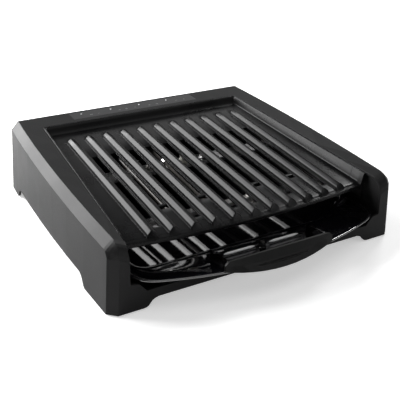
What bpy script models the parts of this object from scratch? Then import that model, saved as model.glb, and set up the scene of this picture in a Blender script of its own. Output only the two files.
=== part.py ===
"""Countertop electric grill: low moulded housing, sloping ridged plate, pull-out drip tray.

Metres, +Z up, front facing -Y.  The origin is on the ground below the middle of
the whole grill, tray handle included.  Places along the depth are written as the
distance behind the housing's front face and turned into Y by depth_y().
"""
from math import atan, cos, pi, radians, sin, sqrt

import bmesh
import bpy
from mathutils import Matrix, Vector

# Housing: outer form
WIDTH = 0.400                 # across the corners at the foot
DEPTH = 0.388                 # front face to rear face at the foot
SIDE_BULGE = 0.006            # how far each side swells at mid depth
TOP_FRONT = 0.0875            # height of the top surface, front end
TOP_REAR = 0.1055             # height of the top surface, rear end
SIDE_DRAFT_SHARE = 0.073      # lean of the side walls
REAR_DRAFT_SHARE = 0.085      # lean of the rear wall
EDGE_BAND = 0.010             # sloped band between walls and top
FRONT_ROUND = 0.018           # rounding where the top turns down to the front
WALL = 0.003                  # moulded wall
GROUND_GAP = 0.0015           # housing edge above the surface it stands on
OVERRUN = 0.020               # how far cutters run past what they cut

# Housing: plate opening, inner skirt and tray mouth
RAIL_FRONT = 0.0265           # corner to opening, at the front face
RAIL_REAR = 0.0415            # and at the opening's rear edge
OPENING_HALF_FRONT = WIDTH / 2 - RAIL_FRONT
OPENING_HALF_REAR = WIDTH / 2 - RAIL_REAR
REAR_DECK = 0.053             # opening's rear edge to the rear end
OPENING_REAR = DEPTH - REAR_DECK
OPENING_DIP = 0.0060          # rail's inner edge below the outer top, at the front
BAY_SETBACK = 0.0258          # corner to the skirt's inner face
BAY_HALF = WIDTH / 2 - BAY_SETBACK
SKIRT = 0.0025                # skirt wall
SKIRT_LAP = 0.0025            # skirt behind the opening's rear edge
SKIRT_BOTTOM = 0.0155         # lower edge of the skirt
MOUTH_SILL = 0.0235           # top of the apron below the tray
MOUTH_SHOULDER = 0.0340       # apron height beside the tray
MOUTH_LOW_SETBACK = 0.0455    # corner to the apron's low part
MOUTH_SHOULDER_SETBACK = 0.0365
MOUTH_LOW_HALF = WIDTH / 2 - MOUTH_LOW_SETBACK
MOUTH_SHOULDER_HALF = WIDTH / 2 - MOUTH_SHOULDER_SETBACK
MOUTH_TOP = 0.0500            # where the tray mouth meets the plate opening
SHOULDER_RISE = 0.0020
MOUTH_EASE = 0.0004           # mouth inside the skirt
MOUTH_HALF = BAY_HALF - MOUTH_EASE

# Housing: cross-sections along the depth
BAND_STEPS = 3
FRONT_STATION_SHARES = (0.0, 0.07, 0.20, 0.38, 0.556, 0.78, 1.0)
REAR_STATION_SHARES = (1.0, 0.60, 0.25, 0.0)
SIDE_STATIONS = 6
SKIRT_SHARES = (0.0, 0.008, 0.024, 0.05, 0.35, 0.70, 1.0)

# Housing: feet and arches
FOOT_FRONT = 0.066            # length of the front feet along the sides
FOOT_REAR = 0.042
FOOT_ACROSS = 0.041           # width of the front and rear feet
SIDE_ARCH = 0.0150
FRONT_ARCH = 0.0106
ARCH_RUN = 0.018              # length of an arch's sloping end
ARCH_RISE_SHARES = ((0.0, 0.0), (0.18, 0.05), (0.33, 0.20), (0.45, 0.46), (0.57, 0.70),
                    (0.75, 0.87), (1.0, 1.0))

# Clearances
SEAT_GAP = 0.0003             # between pieces that touch
SLIDE_GAP = 0.0007            # between pieces that move past each other

# Cooking plate: outline
BAND_RUN = 0.0103             # opening to the foot of the sloping side band, front
BAND_RUN_REAR = 0.0095
BAND_FOOT_HALF = OPENING_HALF_FRONT - BAND_RUN
BAND_FOOT_HALF_REAR = OPENING_HALF_REAR - BAND_RUN_REAR
BAND_FOOT_DROP = 0.0018       # foot of the band below the crest plane
SHELF_RUN = 0.0235            # opening to the end of the flat valley floor
SHELF_HALF = OPENING_HALF_FRONT - SHELF_RUN
SHELF_RISE_SHARE = 0.30
RIM_FLAT = 0.0022
RIM_THICK = 0.0030
REAR_WALL_RUN = 0.0110        # opening to the foot of the plate's rear wall
REAR_WALL_FOOT = OPENING_REAR - REAR_WALL_RUN
CREST_FRONT_Z = 0.0737        # crest plane at the housing's front face
CREST_SLOPE_SHARE = 0.0783    # fall of the plate towards the front
FLOOR_THICK = 0.0032

# Cooking plate: ridges, slots and lip
RIDGE_COUNT = 11
RIDGES_EACH_SIDE = RIDGE_COUNT // 2
RIDGE_SIDE_GAP = 0.0180       # middle of the last ridge to the end of the floor
RIDGE_PITCH = (SHELF_HALF - RIDGE_SIDE_GAP) / RIDGES_EACH_SIDE
RIDGE_HEIGHT = 0.0071
RIDGE_HALF_SHARE = 0.250
RIDGE_SHOULDER_SHARE = 0.212
CREST_HALF_SHARE = 0.038
SLOT_HALF_SHARE = 1 / 6
NOTCH_HALF_SHARE = 0.227
RIDGE_HALF = RIDGE_PITCH * RIDGE_HALF_SHARE          # half width at the valley floor
RIDGE_SHOULDER = RIDGE_PITCH * RIDGE_SHOULDER_SHARE  # half width where the facets end
CREST_HALF = RIDGE_PITCH * CREST_HALF_SHARE
SLOT_HALF = RIDGE_PITCH * SLOT_HALF_SHARE
NOTCH_HALF = RIDGE_PITCH * NOTCH_HALF_SHARE
SHOULDER_DROP = 0.0037
CREST_DROP = 0.0001
SLOT_REAR_SETBACK = 0.0950    # opening's rear edge to the slots
SLOT_REAR = OPENING_REAR - SLOT_REAR_SETBACK
LONG_SLOT_FRONT = 0.0475
SHORT_SLOT_FRONT = 0.0910
NOTCH_REAR = 0.0870
NOTCH_FRONT = 0.0800
RIDGE_REAR_SETBACK = 0.0390   # opening's rear edge to the ridges
RIDGE_REAR = OPENING_REAR - RIDGE_REAR_SETBACK
RIDGE_REAR_RUN = 0.0050
LIP_FRONT = 0.0188            # front lip at the middle
LIP_BOW = 0.0110              # how far the lip's ends lie behind its middle
LIP_DROP = 0.0080             # lip below the crest plane
LIP_HEIGHT = 0.0052
GROOVE_RUN = 0.0009           # thin groove behind the lip
GROOVE_DEPTH = 0.0009
RIDGE_FOOT_RUN = 0.0030       # foot of a ridge's end behind the lip
RIDGE_END_RUN = 0.0065        # crest's end behind the lip
RAMP_RUN = 0.0205             # valley floor falling to the lip
FRONT_ROWS = ("ramp", "end", "foot", "groove", "lip")

# Drip tray
TRAY_REACH = 0.0360           # rim ahead of the housing's front face
TRAY_BOW_RADIUS = 0.394
TRAY_SIDE_GAP = 0.0042        # rim to the skirt
TRAY_HALF = BAY_HALF - TRAY_SIDE_GAP
TRAY_REAR_SETBACK = 0.0300
TRAY_REAR = OPENING_REAR - TRAY_REAR_SETBACK
TRAY_SHEET = 0.0010
BEAD_RADIUS = 0.0013
BEAD_CENTRE_Z = 0.0372
FLANGE_SIDE = 0.0060
FLANGE_HALF = TRAY_HALF - FLANGE_SIDE
FLANGE_FRONT = 0.0045         # width of the flange behind the front bead
SLOPE_SIDE = 0.0175           # rim to the flat floor, along the sides
FLOOR_HALF = TRAY_HALF - SLOPE_SIDE
FLOOR_FILLET = 0.0040
FLOOR_FRONT = 0.0386
FLOOR_REAR_RUN = 0.0175
TRAY_FLOOR_Z = 0.0262
FLOOR_CORNER = 0.0240
RIM_CORNER = 0.0250
REAR_CORNER = 0.0120
RAMP_MID_SHARE = 0.55
RAMP_SAG = 0.0012
BOW_STEPS = 12
SIDE_STEP_SHARES = (0.33, 0.66)

# Tray handle and its bracket
HANDLE_HALF = 0.0735
HANDLE_TOP_HALF = 0.0690
HANDLE_LIP = 0.0045           # handle ahead of the tray's rim
HANDLE_TOP_Z = 0.0510
HANDLE_TOP_FRONT = 0.0300     # top edge ahead of the housing's front face
HANDLE_THICK = 0.0028
HANDLE_DROP = 0.0082          # lowest point below the bead's top
HANDLE_HOLLOW = 0.0016        # depth of the scooped front
HANDLE_STATION_SHARES = (-1.0, -0.96, -0.88, -0.74, -0.56, -0.38, -0.19, 0.0,
                         0.19, 0.38, 0.56, 0.74, 0.88, 0.96, 1.0)
BRACKET_SHEET = 0.0013
BRACKET_UPSTAND_Z = 0.0455
DAM_PLACE = 0.0105            # raised bar behind the housing's front face
DAM_TOP_Z = 0.0348
DAM_HALF = 0.0009
DAM_FOOT = 0.0030
BOSS_TOP_Z = 0.0378           # screw boss between the bars
BOSS_HALF = 0.0040
BAR_INNER = 0.0090
BAR_OUTER = 0.0520
CHEEK_INNER = 0.0655
CHEEK_REAR_Z = 0.0435
CHEEK_FRONT_Z = 0.0490

# Screws
SCREW_SHANK = 0.0014          # radius
SCREW_HEAD = 0.0030           # radius
SCREW_HEAD_THICK = 0.0016
HEAD_CROWN_SHARE = 0.7
SCREW_LENGTH = 0.0060
HOLE_GAP = 0.0003             # screw to hole, on the radius

# Tray runners
RUNNER_SHEET = 0.0010
RUNNER_LEG = 0.0068
RUNNER_DROP = 0.0130
RUNNER_FRONT = 0.0200
RUNNER_REAR_SETBACK = 0.0150
RUNNER_REAR = OPENING_REAR - RUNNER_REAR_SETBACK
RUNNER_STOP = 0.0060

# Heat shield round the cooking bay
SHIELD_SHEET = 0.0008
SHIELD_LOW_Z = 0.0460
SHIELD_SHELF = 0.0170
SHIELD_FRONT = 0.0360
SHIELD_SCREW_FRONT = 0.0700
SHIELD_SCREW_SETBACK = 0.0750
SHIELD_SCREW_REAR = OPENING_REAR - SHIELD_SCREW_SETBACK
SHIELD_SCREW_Z = 0.0530

# Heating element and what holds it
ELEMENT_RADIUS = 0.0040
ELEMENT_GAP = 0.0024          # below the plate
LEG_SHIFT = 0.0040            # legs outside the middles of the ridges above
ELEMENT_CORNER = 0.0127       # radius of the rear corners
ELEMENT_FRONT = 0.0805        # middle of the front bends
ELEMENT_INNER_SETBACK = 0.0990
ELEMENT_OUTER_SETBACK = 0.0450
ELEMENT_TAIL = 0.0170         # ends of the element behind the opening
ELEMENT_INNER_REAR = OPENING_REAR - ELEMENT_INNER_SETBACK
ELEMENT_OUTER_REAR = OPENING_REAR - ELEMENT_OUTER_SETBACK
ELEMENT_END = OPENING_REAR + ELEMENT_TAIL
BAR_FRONT_WIDTH = 0.0090
BAR_REAR_WIDTH = 0.0215
BAR_SHEET = 0.0010
BAR_FLANGE = 0.0050
BAR_FRONT_PLACE = 0.0840
BAR_REAR_PLACE = 0.2050
CLIP_SHEET = 0.0006
CLIP_WIDTH = 0.0070
CLIP_FOOT = 0.0030
STAT_RADIUS = 0.0070
STAT_FLANGE = 0.0089
STAT_FLANGE_THICK = 0.0015
FUSE_RADIUS = 0.0022
FUSE_LENGTH = 0.0120

# Electronics behind the plate
PANEL_LENGTH = 0.202
PANEL_WIDTH = 0.026
PANEL_THICK = 0.0008
PANEL_SHIFT = 0.0070          # panel left of the middle
PANEL_SETBACK = 0.0220        # opening to the middle of the panel
PANEL_PLACE = OPENING_REAR + PANEL_SETBACK
LENS_COUNT = 4
LENS_PITCH_SHARE = 0.2312
LENS_FIRST_SHARE = 0.4530
LENS_PITCH = PANEL_LENGTH * LENS_PITCH_SHARE
LENS_FIRST = PANEL_LENGTH * LENS_FIRST_SHARE
LENS_BACK = 0.0032            # lights behind the middle of the panel
LENS_PLACE = PANEL_PLACE + LENS_BACK
LENS_RADIUS = 0.0012
BOARD_LENGTH = 0.190
BOARD_WIDTH = 0.026
BOARD_THICK = 0.0016
BOARD_DROP = 0.0090           # board's top below the housing's top surface
BOARD_PLACE = PANEL_PLACE
BOARD_POST = 0.0030
RELAY_LENGTH = 0.018
RELAY_WIDTH = 0.014
RELAY_HEIGHT = 0.011
RELAY_X = 0.055
CAPACITOR_RADIUS = 0.0050
CAPACITOR_HEIGHT = 0.0140
CAPACITOR_X = 0.080
BLOCK_LENGTH = 0.084
BLOCK_DEPTH = 0.014
BLOCK_HEIGHT = 0.016
BLOCK_BEVEL = 0.0015
WIRE_RADIUS = 0.0012
WIRE_BACK = 0.0050

# Base plate and feet
BASE_SHEET = 0.0012
BASE_CORNER = 0.0160
BASE_STEPS = 8
VENT_COUNT = 9
VENT_PITCH = 0.016
VENT_LENGTH = 0.020
VENT_WIDTH = 0.005
BOSS_RADIUS = 0.0040
BOSS_HEIGHT = 0.020
BOSS_OUT = 0.0035             # boss middle beyond the skirt's outer face
BOSS_PLACES_SHARES = (0.10, 0.50, 0.84)
WEB_THICK = 0.0030
WEB_SIZE = 0.030
PAD_RADIUS = 0.0085
PAD_HUB = 0.0030
PAD_HUB_HEIGHT = 0.0042
PAD_INSET = 0.0200

FLAT_ANGLE = radians(0.02)    # faces closer to flat than this become one
ROUND_SIDES = 16
SMALL_SIDES = 12
SCREW_SIDES = 8
ARC_STEPS = 6
HANDLE_REACH = TRAY_REACH + HANDLE_LIP
FRONT_Y = (HANDLE_REACH - DEPTH) / 2
PLATE_TILT = atan(CREST_SLOPE_SHARE)
TOP_TILT = atan((TOP_REAR - TOP_FRONT) / DEPTH)


def depth_y(place):
    """Y of a place measured back from the housing's front face."""
    return FRONT_Y + place


def clear_scene():
    """Remove whatever the file holds."""
    for obj in list(bpy.data.objects):
        bpy.data.objects.remove(obj, do_unlink=True)


# Finishes: base colour, roughness, metallic
FINISHES = {
    "moulded_black": ((0.034, 0.034, 0.035), 0.55, 0.0),
    "cast_coated": ((0.040, 0.040, 0.041), 0.45, 0.1),
    "tray_gloss": ((0.006, 0.006, 0.008), 0.12, 0.2),
    "handle_black": ((0.020, 0.020, 0.021), 0.50, 0.0),
    "bracket_gloss": ((0.012, 0.012, 0.013), 0.20, 0.3),
    "steel": ((0.55, 0.55, 0.56), 0.35, 1.0),
    "black_steel": ((0.030, 0.030, 0.031), 0.45, 0.6),
    "element_sheath": ((0.10, 0.10, 0.10), 0.40, 0.9),
    "rubber": ((0.022, 0.022, 0.022), 0.85, 0.0),
    "panel_film": ((0.030, 0.030, 0.032), 0.40, 0.0),
    "lens_clear": ((0.75, 0.76, 0.78), 0.20, 0.0),
    "board_green": ((0.020, 0.110, 0.050), 0.50, 0.0),
    "ceramic": ((0.72, 0.70, 0.65), 0.55, 0.0),
    "relay_blue": ((0.030, 0.080, 0.220), 0.45, 0.0),
    "sleeve_brown": ((0.110, 0.050, 0.025), 0.60, 0.0),
    "sleeve_blue": ((0.030, 0.080, 0.300), 0.60, 0.0),
}


def finish(name):
    """The named material, made once."""
    material = bpy.data.materials.get(name)
    if material is None:
        colour, roughness, metallic = FINISHES[name]
        material = bpy.data.materials.new(name)
        material.use_nodes = True
        shader = material.node_tree.nodes["Principled BSDF"]
        shader.inputs["Base Color"].default_value = (*colour, 1.0)
        shader.inputs["Roughness"].default_value = roughness
        shader.inputs["Metallic"].default_value = metallic
        material.diffuse_color = (*colour, 1.0)
    return material


def make_object(name, bm, material, smooth_degrees=32):
    """Turn a bmesh into a named object with outward faces."""
    bmesh.ops.remove_doubles(bm, verts=bm.verts, dist=SEAT_GAP / 100)
    bmesh.ops.dissolve_degenerate(bm, edges=bm.edges, dist=SEAT_GAP / 100)
    bmesh.ops.recalc_face_normals(bm, faces=bm.faces)
    mesh = bpy.data.meshes.new(name)
    bm.to_mesh(mesh)
    bm.free()
    mesh.shade_smooth()
    mesh.set_sharp_from_angle(angle=radians(smooth_degrees))
    obj = bpy.data.objects.new(name, mesh)
    bpy.context.scene.collection.objects.link(obj)
    if material:
        mesh.materials.append(finish(material))
    return obj


def loft(bm, rings, closed=False):
    """Skin rings of equal count; caps both ends unless the run is closed."""
    rows = [[bm.verts.new(p) for p in ring] for ring in rings]
    count = len(rows[0])
    pairs = list(zip(rows, rows[1:]))
    if closed:
        pairs.append((rows[-1], rows[0]))
    for low, high in pairs:
        for i in range(count):
            j = (i + 1) % count
            bm.faces.new((low[i], low[j], high[j], high[i]))
    if not closed:
        bm.faces.new(list(reversed(rows[0])))
        bm.faces.new(rows[-1])
    return rows


def lofted(name, rings, material, closed=False, triangles=False):
    """One lofted body."""
    bm = bmesh.new()
    loft(bm, rings, closed)
    if triangles:
        bmesh.ops.remove_doubles(bm, verts=bm.verts, dist=SEAT_GAP / 100)
        bmesh.ops.dissolve_degenerate(bm, edges=bm.edges, dist=SEAT_GAP / 100)
        bmesh.ops.triangulate(bm, faces=bm.faces)
    return make_object(name, bm, material)


def prism(bm, outline, place):
    """Extrude a flat outline between the two ends that place() returns."""
    near = [place(point, 0) for point in outline]
    far = [place(point, 1) for point in outline]
    loft(bm, [near, far])


def prism_along(bm, axis, outline, start, end):
    """Extrude a flat outline along x, y or z from start to end."""
    def place(point, side):
        a, b = point
        run = end if side else start
        if axis == "x":
            return (run, a, b)
        if axis == "y":
            return (a, run, b)
        return (a, b, run)
    prism(bm, outline, place)


def circle(radius, sides=ROUND_SIDES):
    """Points of a circle round the origin."""
    return [(radius * cos(2 * pi * i / sides), radius * sin(2 * pi * i / sides))
            for i in range(sides)]


def turned(bm, profile, sides=ROUND_SIDES, matrix=None):
    """Turn (radius, height) points round Z; radii of zero close the ends."""
    verts = []
    for radius, height in profile:
        if radius == 0:
            verts.append([bm.verts.new((0, 0, height))])
        else:
            verts.append([bm.verts.new((x, y, height)) for x, y in circle(radius, sides)])
    for low, high in zip(verts, verts[1:]):
        for i in range(sides):
            j = (i + 1) % sides
            if len(low) == 1:
                bm.faces.new((low[0], high[i], high[j]))
            elif len(high) == 1:
                bm.faces.new((low[i], low[j], high[0]))
            else:
                bm.faces.new((low[i], low[j], high[j], high[i]))
    if matrix is not None:
        bmesh.ops.transform(bm, matrix=matrix, verts=[v for row in verts for v in row])


def tube(bm, path, radius, sides=8):
    """Sweep a circle along a path of points."""
    points = [Vector(p) for p in path]
    rings = []
    side = None
    for i, point in enumerate(points):
        before = points[max(i - 1, 0)]
        after = points[min(i + 1, len(points) - 1)]
        along = (after - before).normalized()
        if side is None:
            side = along.orthogonal().normalized()
        side = (side - along * side.dot(along)).normalized()
        up = along.cross(side)
        rings.append([point + side * x + up * y for x, y in circle(radius, sides)])
    loft(bm, rings)


def helper(name, bm):
    """A cutter or a piece to be merged: not part of the model by itself."""
    obj = make_object(name, bm, None)
    obj.hide_render = True
    obj.display_type = "WIRE"
    return obj


def combine(obj, other, operation):
    """Exact Boolean kept as a modifier."""
    modifier = obj.modifiers.new(other.name, "BOOLEAN")
    modifier.operation = operation
    modifier.solver = "EXACT"
    modifier.object = other


def box(bm, low, high):
    """Axis-aligned box."""
    (x0, y0, z0), (x1, y1, z1) = low, high
    prism_along(bm, "z", [(x0, y0), (x1, y0), (x1, y1), (x0, y1)], z0, z1)


def matrix_at(location, rotation=None):
    """Placement matrix."""
    turn = rotation if rotation is not None else Matrix.Identity(4)
    return Matrix.Translation(Vector(location)) @ turn


# Shapes shared by several pieces

def top_z(place):
    """Height of the housing's top surface."""
    return TOP_FRONT + (TOP_REAR - TOP_FRONT) * place / DEPTH


def half_width(place):
    """Half width of the housing at the foot."""
    share = place / DEPTH
    return WIDTH / 2 + SIDE_BULGE * 4 * share * (1 - share)


def opening_half(place):
    """Half width of the plate opening."""
    share = place / OPENING_REAR
    return OPENING_HALF_FRONT + (OPENING_HALF_REAR - OPENING_HALF_FRONT) * share


def rail_inner_z(place):
    """Height of the rails' inner edge: it dips towards the front."""
    share = max(0.0, 1 - place / OPENING_REAR)
    return top_z(place) - OPENING_DIP * share


def crest_z(place):
    """Height of the plane that the ridge crests lie in."""
    return CREST_FRONT_Z + CREST_SLOPE_SHARE * place


def plate_under_z(place):
    """Underside of the plate's floor."""
    return crest_z(place) - RIDGE_HEIGHT - FLOOR_THICK


def element_z(place):
    """Height of the heating element's axis."""
    return plate_under_z(place) - ELEMENT_GAP - ELEMENT_RADIUS


def bar_z(place):
    """Top of the bars that carry the element."""
    return element_z(place) - ELEMENT_RADIUS - SEAT_GAP


def leg_x(index):
    """X of an element leg: under every second ridge, moved a little outwards."""
    return RIDGE_PITCH * (2 * index + 1) + LEG_SHIFT


def element_end_rims(radius):
    """Circles round the element's two ends, as (x, z) outlines."""
    z = element_z(OPENING_REAR + SKIRT_LAP)
    return [[(side * leg_x(0) + a, z + b) for a, b in circle(radius, SMALL_SIDES)]
            for side in (-1, 1)]


def rim_front(x):
    """Front of the tray's rim: a wide bow."""
    return -TRAY_REACH + x * x / (2 * TRAY_BOW_RADIUS)


# Housing

def housing_stations(inset):
    """Places of the housing's cross-sections."""
    radius = FRONT_ROUND - inset
    band = EDGE_BAND - inset * (2 - sqrt(2))
    front = [inset + radius * share for share in FRONT_STATION_SHARES]
    step = (OPENING_REAR - front[-1]) / SIDE_STATIONS
    middle = [front[-1] + step * i for i in range(1, SIDE_STATIONS + 1)]
    rear = [DEPTH - inset - band * share for share in REAR_STATION_SHARES]
    return front + middle + rear


def side_profile(place, inset):
    """Left half of a cross-section, (half width, height), foot to opening edge."""
    band = EDGE_BAND - inset * (2 - sqrt(2))
    from_front = place - inset
    from_rear = DEPTH - inset - place
    radius, away = FRONT_ROUND - inset, max(0.0, FRONT_ROUND - inset - from_front)
    if from_rear < band:
        radius, away = band, band - from_rear
    top = top_z(place) - inset
    flat = radius - band
    start = max(flat, away)
    points = []
    for i in range(BAND_STEPS + 1):
        r = start + (radius - start) * i / BAND_STEPS
        z = top - radius + sqrt(max(0.0, r * r - away * away))
        x = half_width(place) - inset - (r - flat)
        points.append((x - SIDE_DRAFT_SHARE * z, z))
    foot_x = half_width(place) - inset - (start - flat)
    drop = radius - sqrt(max(0.0, radius * radius - away * away))
    foot_z = GROUND_GAP if inset == 0 else -OVERRUN
    points.insert(0, (foot_x - SIDE_DRAFT_SHARE * foot_z, foot_z))
    points.append((opening_half(place), rail_inner_z(place) - inset - drop))
    return points


def rear_lean_y(place, z):
    """Y of a point at a place, with the rear wall's lean taken up behind the opening."""
    share = max(0.0, (place - OPENING_REAR) / (DEPTH - OPENING_REAR))
    return depth_y(place) - REAR_DRAFT_SHARE * z * share


def housing_body(name, inset, material):
    """Solid with the housing's outer form, inset evenly."""
    rings = []
    for place in housing_stations(inset):
        half = side_profile(place, inset)
        left = [(-x, rear_lean_y(place, z), z) for x, z in half]
        right = [(x, rear_lean_y(place, z), z) for x, z in reversed(half)]
        rings.append(left + right)
    return lofted(name, rings, material, triangles=True)


def rail_surface_z(x, place):
    """Height of the rail's top surface at a half width x."""
    half = side_profile(place, 0)
    (x1, z1), (x0, z0) = half[-2], half[-1]
    share = (x - x0) / (x1 - x0)
    return z0 + (z1 - z0) * share


def skirt_body():
    """Inner wall that hangs from the rails and runs round the cooking bay."""
    rear = OPENING_REAR + SKIRT_LAP
    places = [WALL / 2 + (rear - WALL / 2) * share for share in SKIRT_SHARES]
    rings = []

    def section(side, place, turn):
        ring = []
        for out, level in ((0, 0), (SKIRT, 0), (SKIRT, 1), (0, 1)):
            x = BAY_HALF + out
            d = place + (out if turn else 0)
            low = SKIRT_BOTTOM
            high = rail_surface_z(x, min(d, OPENING_REAR)) - WALL / 2
            if turn:
                high = min(high, top_z(d) - WALL / 2)
            ring.append((side * x, depth_y(d), high if level else low))
        return ring

    for place in places[:-1]:
        rings.append(section(-1, place, False))
    rings.append(section(-1, rear, True))
    rings.append(section(1, rear, True))
    for place in reversed(places[:-1]):
        rings.append(section(1, place, False))
    bm = bmesh.new()
    loft(bm, rings)
    bmesh.ops.triangulate(bm, faces=bm.faces)
    return helper("skirt_solid", bm)


def arch_outline(low, high, height):
    """Arch between two places: flat top with eased ends, open below."""
    rising = [(low + ARCH_RUN * u, height * v) for u, v in ARCH_RISE_SHARES]
    falling = [(high - ARCH_RUN * u, height * v) for u, v in reversed(ARCH_RISE_SHARES)]
    lifted = [(a, GROUND_GAP + b) for a, b in rising + falling]
    return [(low, -OVERRUN)] + lifted + [(high, -OVERRUN)]


def boss_places():
    """Middles of the base plate's screw bosses, (x, place)."""
    x = BAY_HALF + SKIRT + BOSS_OUT
    return [(side * x, DEPTH * share) for side in (-1, 1) for share in BOSS_PLACES_SHARES]


def pad_places():
    """Middles of the rubber pads."""
    x = WIDTH / 2 - PAD_INSET
    return [(side * x, d) for side in (-1, 1) for d in (PAD_INSET, DEPTH - PAD_INSET)]


def web_outline(side, front):
    """Web that closes a corner foot: it overlaps the walls round it."""
    out = WIDTH / 2 - WALL / 2
    near = WALL / 2 if front else DEPTH - WALL / 2
    sign = 1 if front else -1
    cut = EDGE_BAND
    return [
        (side * out, depth_y(near + sign * cut)),
        (side * (out - cut), depth_y(near)),
        (side * (out - WEB_SIZE), depth_y(near)),
        (side * (out - WEB_SIZE), depth_y(near + sign * WEB_SIZE)),
        (side * out, depth_y(near + sign * WEB_SIZE)),
    ]


def side_screw_places():
    """Screws through the skirt's side walls: shield screws, then runner screws."""
    shield = [(d, SHIELD_SCREW_Z) for d in (SHIELD_SCREW_FRONT, SHIELD_SCREW_REAR)]
    runner = [(d, runner_top_z() - RUNNER_DROP / 2) for d in
              (SHIELD_SCREW_FRONT, SHIELD_SCREW_REAR)]
    return shield, runner


def runner_top_z():
    """Height of the runner's ledge, under the tray's bead."""
    return BEAD_CENTRE_Z - BEAD_RADIUS - SEAT_GAP


def panel_matrix(place):
    """Placement on the sloping top surface."""
    turn = Matrix.Rotation(TOP_TILT, 4, "X")
    return matrix_at((-PANEL_SHIFT, depth_y(place), top_z(place)), turn)


def lens_x(index):
    """Middle of an indicator lens."""
    return -LENS_FIRST + LENS_PITCH * index


def boss_solids():
    """Bosses that take the base plate's screws."""
    bm = bmesh.new()
    for x, d in boss_places():
        rim = [(x + a, depth_y(d) + b) for a, b in circle(BOSS_RADIUS, SMALL_SIDES)]
        prism_along(bm, "z", rim, SKIRT_BOTTOM, SKIRT_BOTTOM + BOSS_HEIGHT)
    return helper("boss_solids", bm)


def foot_webs():
    """Webs that close the four corner feet."""
    bm = bmesh.new()
    for side in (-1, 1):
        for front in (True, False):
            outline = web_outline(side, front)
            prism_along(bm, "z", outline, GROUND_GAP, GROUND_GAP + WEB_THICK)
    return helper("foot_webs", bm)


def board_posts():
    """Posts that the control board hangs from."""
    bm = bmesh.new()
    for x in (-1, 1):
        for y in (-1, 1):
            cx = -PANEL_SHIFT + x * (BOARD_LENGTH / 2 - 2 * BOARD_POST)
            cy = depth_y(BOARD_PLACE) + y * (BOARD_WIDTH / 2 - BOARD_POST)
            post = [(cx + a, cy + b) for a, b in circle(BOARD_POST, SMALL_SIDES)]
            low = top_z(BOARD_PLACE) - BOARD_DROP + SEAT_GAP
            prism_along(bm, "z", post, low, top_z(BOARD_PLACE) - WALL / 2)
    return helper("board_posts", bm)


def plate_opening():
    """Cutter for the opening that the plate lies in."""
    bm = bmesh.new()
    front, rear = -OVERRUN, OPENING_REAR
    plan = [(-opening_half(front), depth_y(front)), (opening_half(front), depth_y(front)),
            (opening_half(rear), depth_y(rear)), (-opening_half(rear), depth_y(rear))]
    prism_along(bm, "z", plan, MOUTH_TOP - SEAT_GAP, TOP_REAR + OVERRUN)
    return helper("plate_opening", bm)


def tray_mouth():
    """Cutter for the tray's way in through the front."""
    bm = bmesh.new()
    low, shoulder = MOUTH_LOW_HALF, MOUTH_SHOULDER_HALF
    step = MOUTH_SHOULDER + SHOULDER_RISE
    mouth = [(-low, MOUTH_SILL), (low, MOUTH_SILL), (shoulder, MOUTH_SHOULDER),
             (MOUTH_HALF, step), (MOUTH_HALF, MOUTH_TOP), (-MOUTH_HALF, MOUTH_TOP),
             (-MOUTH_HALF, step), (-shoulder, MOUTH_SHOULDER)]
    prism_along(bm, "y", mouth, depth_y(-OVERRUN), depth_y(WALL + WALL))
    return helper("tray_mouth", bm)


def front_arch():
    """Cutter for the low arches between the feet, front and rear."""
    bm = bmesh.new()
    arch = arch_outline(-WIDTH / 2 + FOOT_ACROSS, WIDTH / 2 - FOOT_ACROSS, FRONT_ARCH)
    prism_along(bm, "y", arch, depth_y(-OVERRUN), depth_y(DEPTH + OVERRUN))
    return helper("front_arch", bm)


def side_arches():
    """Cutter for the arches along both sides."""
    bm = bmesh.new()
    arch = arch_outline(depth_y(FOOT_FRONT), depth_y(DEPTH - FOOT_REAR), SIDE_ARCH)
    for side in (-1, 1):
        inner = side * (BAY_HALF + SKIRT + BOSS_OUT)
        outer = side * (WIDTH / 2 + SIDE_BULGE + OVERRUN)
        prism_along(bm, "x", arch, min(inner, outer), max(inner, outer))
    return helper("side_arches", bm)


def foot_bores():
    """Bores for the base plate's screws and the rubber pads."""
    bm = bmesh.new()
    for x, d in boss_places():
        bore = circle(SCREW_SHANK + HOLE_GAP, SMALL_SIDES)
        rim = [(x + a, depth_y(d) + b) for a, b in bore]
        prism_along(bm, "z", rim, 0, SKIRT_BOTTOM + SCREW_LENGTH + HOLE_GAP)
    for x, d in pad_places():
        rim = [(x + a, depth_y(d) + b) for a, b in circle(PAD_HUB + SEAT_GAP, SMALL_SIDES)]
        prism_along(bm, "z", rim, -OVERRUN, GROUND_GAP + WEB_THICK + SEAT_GAP)
    return helper("screw_and_pad_bores", bm)


def wall_bores():
    """Bores through the skirt: side screws and the element's two ends."""
    bm = bmesh.new()
    shield, runner = side_screw_places()
    for d, z in shield + runner:
        bore = circle(SCREW_SHANK + HOLE_GAP, SMALL_SIDES)
        rim = [(depth_y(d) + a, z + b) for a, b in bore]
        for side in (-1, 1):
            near, far = side * (BAY_HALF - SKIRT), side * (BAY_HALF + 2 * SKIRT)
            prism_along(bm, "x", rim, min(near, far), max(near, far))
    rear = OPENING_REAR + SKIRT_LAP
    for rim in element_end_rims(ELEMENT_RADIUS + SLIDE_GAP):
        prism_along(bm, "y", rim, depth_y(rear - SKIRT), depth_y(rear + 2 * SKIRT))
    return helper("wall_bores", bm)


def panel_recess():
    """Cutter for the shallow seat of the control panel."""
    bm = bmesh.new()
    half_x, half_y = PANEL_LENGTH / 2 + SEAT_GAP, PANEL_WIDTH / 2 + SEAT_GAP
    box(bm, (-half_x, -half_y, -PANEL_THICK - SEAT_GAP), (half_x, half_y, OVERRUN))
    bmesh.ops.transform(bm, matrix=panel_matrix(PANEL_PLACE), verts=bm.verts)
    return helper("panel_recess", bm)


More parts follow.
